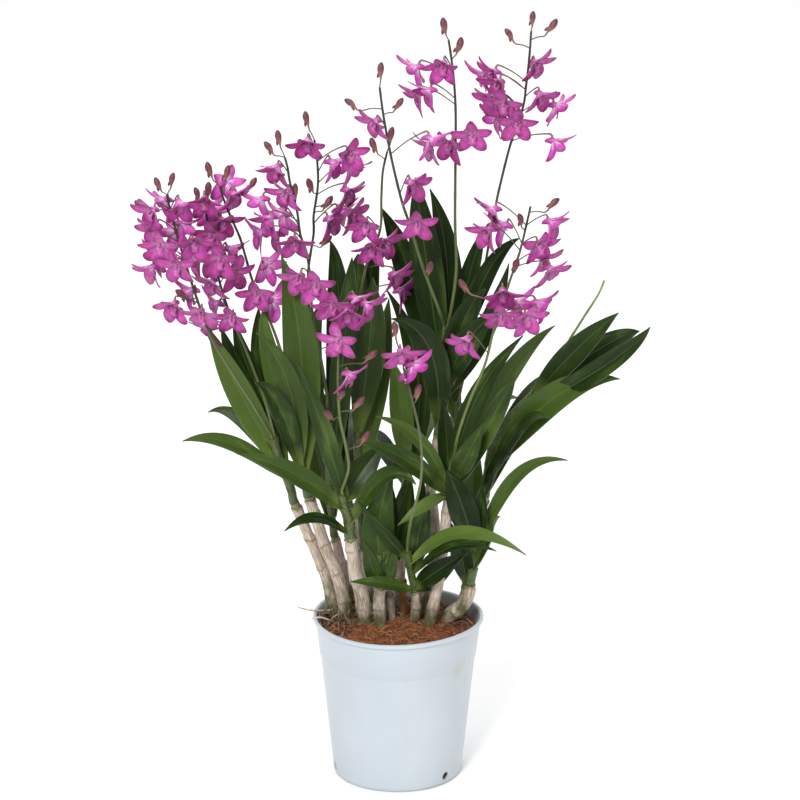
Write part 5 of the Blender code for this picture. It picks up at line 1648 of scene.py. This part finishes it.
def lay_bud(bm, centre, axis, scale, draw):
    """A closed bud."""
    side = axis.cross(FRONT).normalized()
    last = len(BUD_GIRTHS) - 1
    bow = draw.uniform(-0.6, 0.6)
    route = []
    for number in range(last + 1):
        share = number / last
        bend = side * bow * math.sin(math.pi * number / last)
        route.append(centre + axis * BUD_LENGTH * scale * (share - 0.5) + bend)
    lay_tube(bm, route, [girth * scale for girth in BUD_GIRTHS], 12, draw.random(), slot=2)
    spur = [route[2], route[1] - side * 1.5 * scale, route[0] - side * 2.2 * scale - axis * 0.6]
    lay_tube(bm, spur, [1.4 * scale, 1.2 * scale, 0.6 * scale], 8, 0.5, slot=2)
    return route[0]


petal_count = 0
for name, plan in SPRAYS.items():
    facing_draw = random.Random(name)
    draw = random.Random(f"fine {name}")
    crown, heading = tops[plan["on"]]
    across = heading.cross(FRONT).normalized()
    foot = crown + heading * GAP + across * plan["seat"][0] + heading.cross(across) * plan["seat"][1]
    knots = [foot + heading * 3.0, *(seen(*knot) for knot in plan["stalk"])]
    points = [foot, *smooth_route(knots, STALK_STEP)]
    last = len(points) - 1
    stems = new_shape()
    girths = [STALK_RADIUS * (1.15 - 0.35 * number / last) for number in range(last + 1)]
    girths = [girth * (1.0 + 0.10 * (number % 5 == 0)) for number, girth in enumerate(girths)]
    lay_tube(stems, points, girths, 10, GREEN_SHADE if name in GREEN_STALKS else DARK_SHADE)
    depths = smooth_route([Vector((knot[0], knot[2], knot[1])) for knot in plan["stalk"]], 6.0)
    spots = [station(points, 0.02 * step)[0] for step in range(10, 51)]

    def centre_at(x, z, off):
        """The place of a flower or bud, from where it is seen and its depth from the stalk."""
        near = min(depths, key=lambda spot: (spot.x - x) ** 2 + (spot.z - z) ** 2)
        return seen(x, z, near.y + off)

    def anchor_for(centre, drop):
        """Where on the stalk a flower or bud is joined."""
        return min(spots, key=lambda spot: (spot - centre + UP * drop).length)

    petals = new_shape()
    for x, z, off in [*plan["flowers"], *MORE_FLOWERS.get(name, [])]:
        centre = centre_at(x, z, off)
        anchor = anchor_for(centre, FLOWER_DROP)
        away = centre - anchor
        away.z = 0.0
        forward = away.normalized() + Vector((0.0, -0.45, 0.0))
        forward.rotate(Matrix.Rotation(math.radians(facing_draw.uniform(-25, 25)), 3, "Z"))
        forward = (forward.normalized() - UP * draw.uniform(0.35, 1.15)).normalized()
        heart = centre - forward * HEART_BEHIND
        into = (forward * 0.5 - UP).normalized()
        lay_pedicel(stems, anchor, heart - forward * 1.2, into, 0.95)
        lay_flower(petals, heart, forward, draw)
    for x, z, off in plan["buds"]:
        centre = centre_at(x, z, off)
        anchor = anchor_for(centre, BUD_DROP)
        axis = ((centre - anchor).normalized() + UP * 0.6).normalized()
        neck = lay_bud(stems, centre, axis, draw.uniform(0.88, 1.06), draw)
        lay_pedicel(stems, anchor, neck, axis, 0.75)
    if not plan["flowers"]:
        petals.free()
        finish_piece(stems, f"stalk_{name}", [young_green] * 3, "young", f"spray_{name}")
        continue
    finish_piece(stems, f"stalk_{name}", [stalk, pedicel, bud_skin], "petal", f"spray_{name}")
    piece = finish_piece(petals, f"petals_{name}", [petal, petal_back, lip], "petal", f"spray_{name}")
    petal_count += triangles(piece)
    print(name, triangles(piece), end="; ")
print("petals:", petal_count, "triangles")

# %% [markdown]
# The dressed plant must keep the size of the solid one, so both boxes are written down to be compared.

# %% The sizes and the end
dressed_box = [list(corner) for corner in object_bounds()]
for axis, letter in enumerate("XYZ"):
    sides = [round((box[1][axis] - box[0][axis]) / MM, 1) for box in (solid_box, dressed_box)]
    print(letter, "solid", sides[0], "mm, dressed", sides[1], "mm")
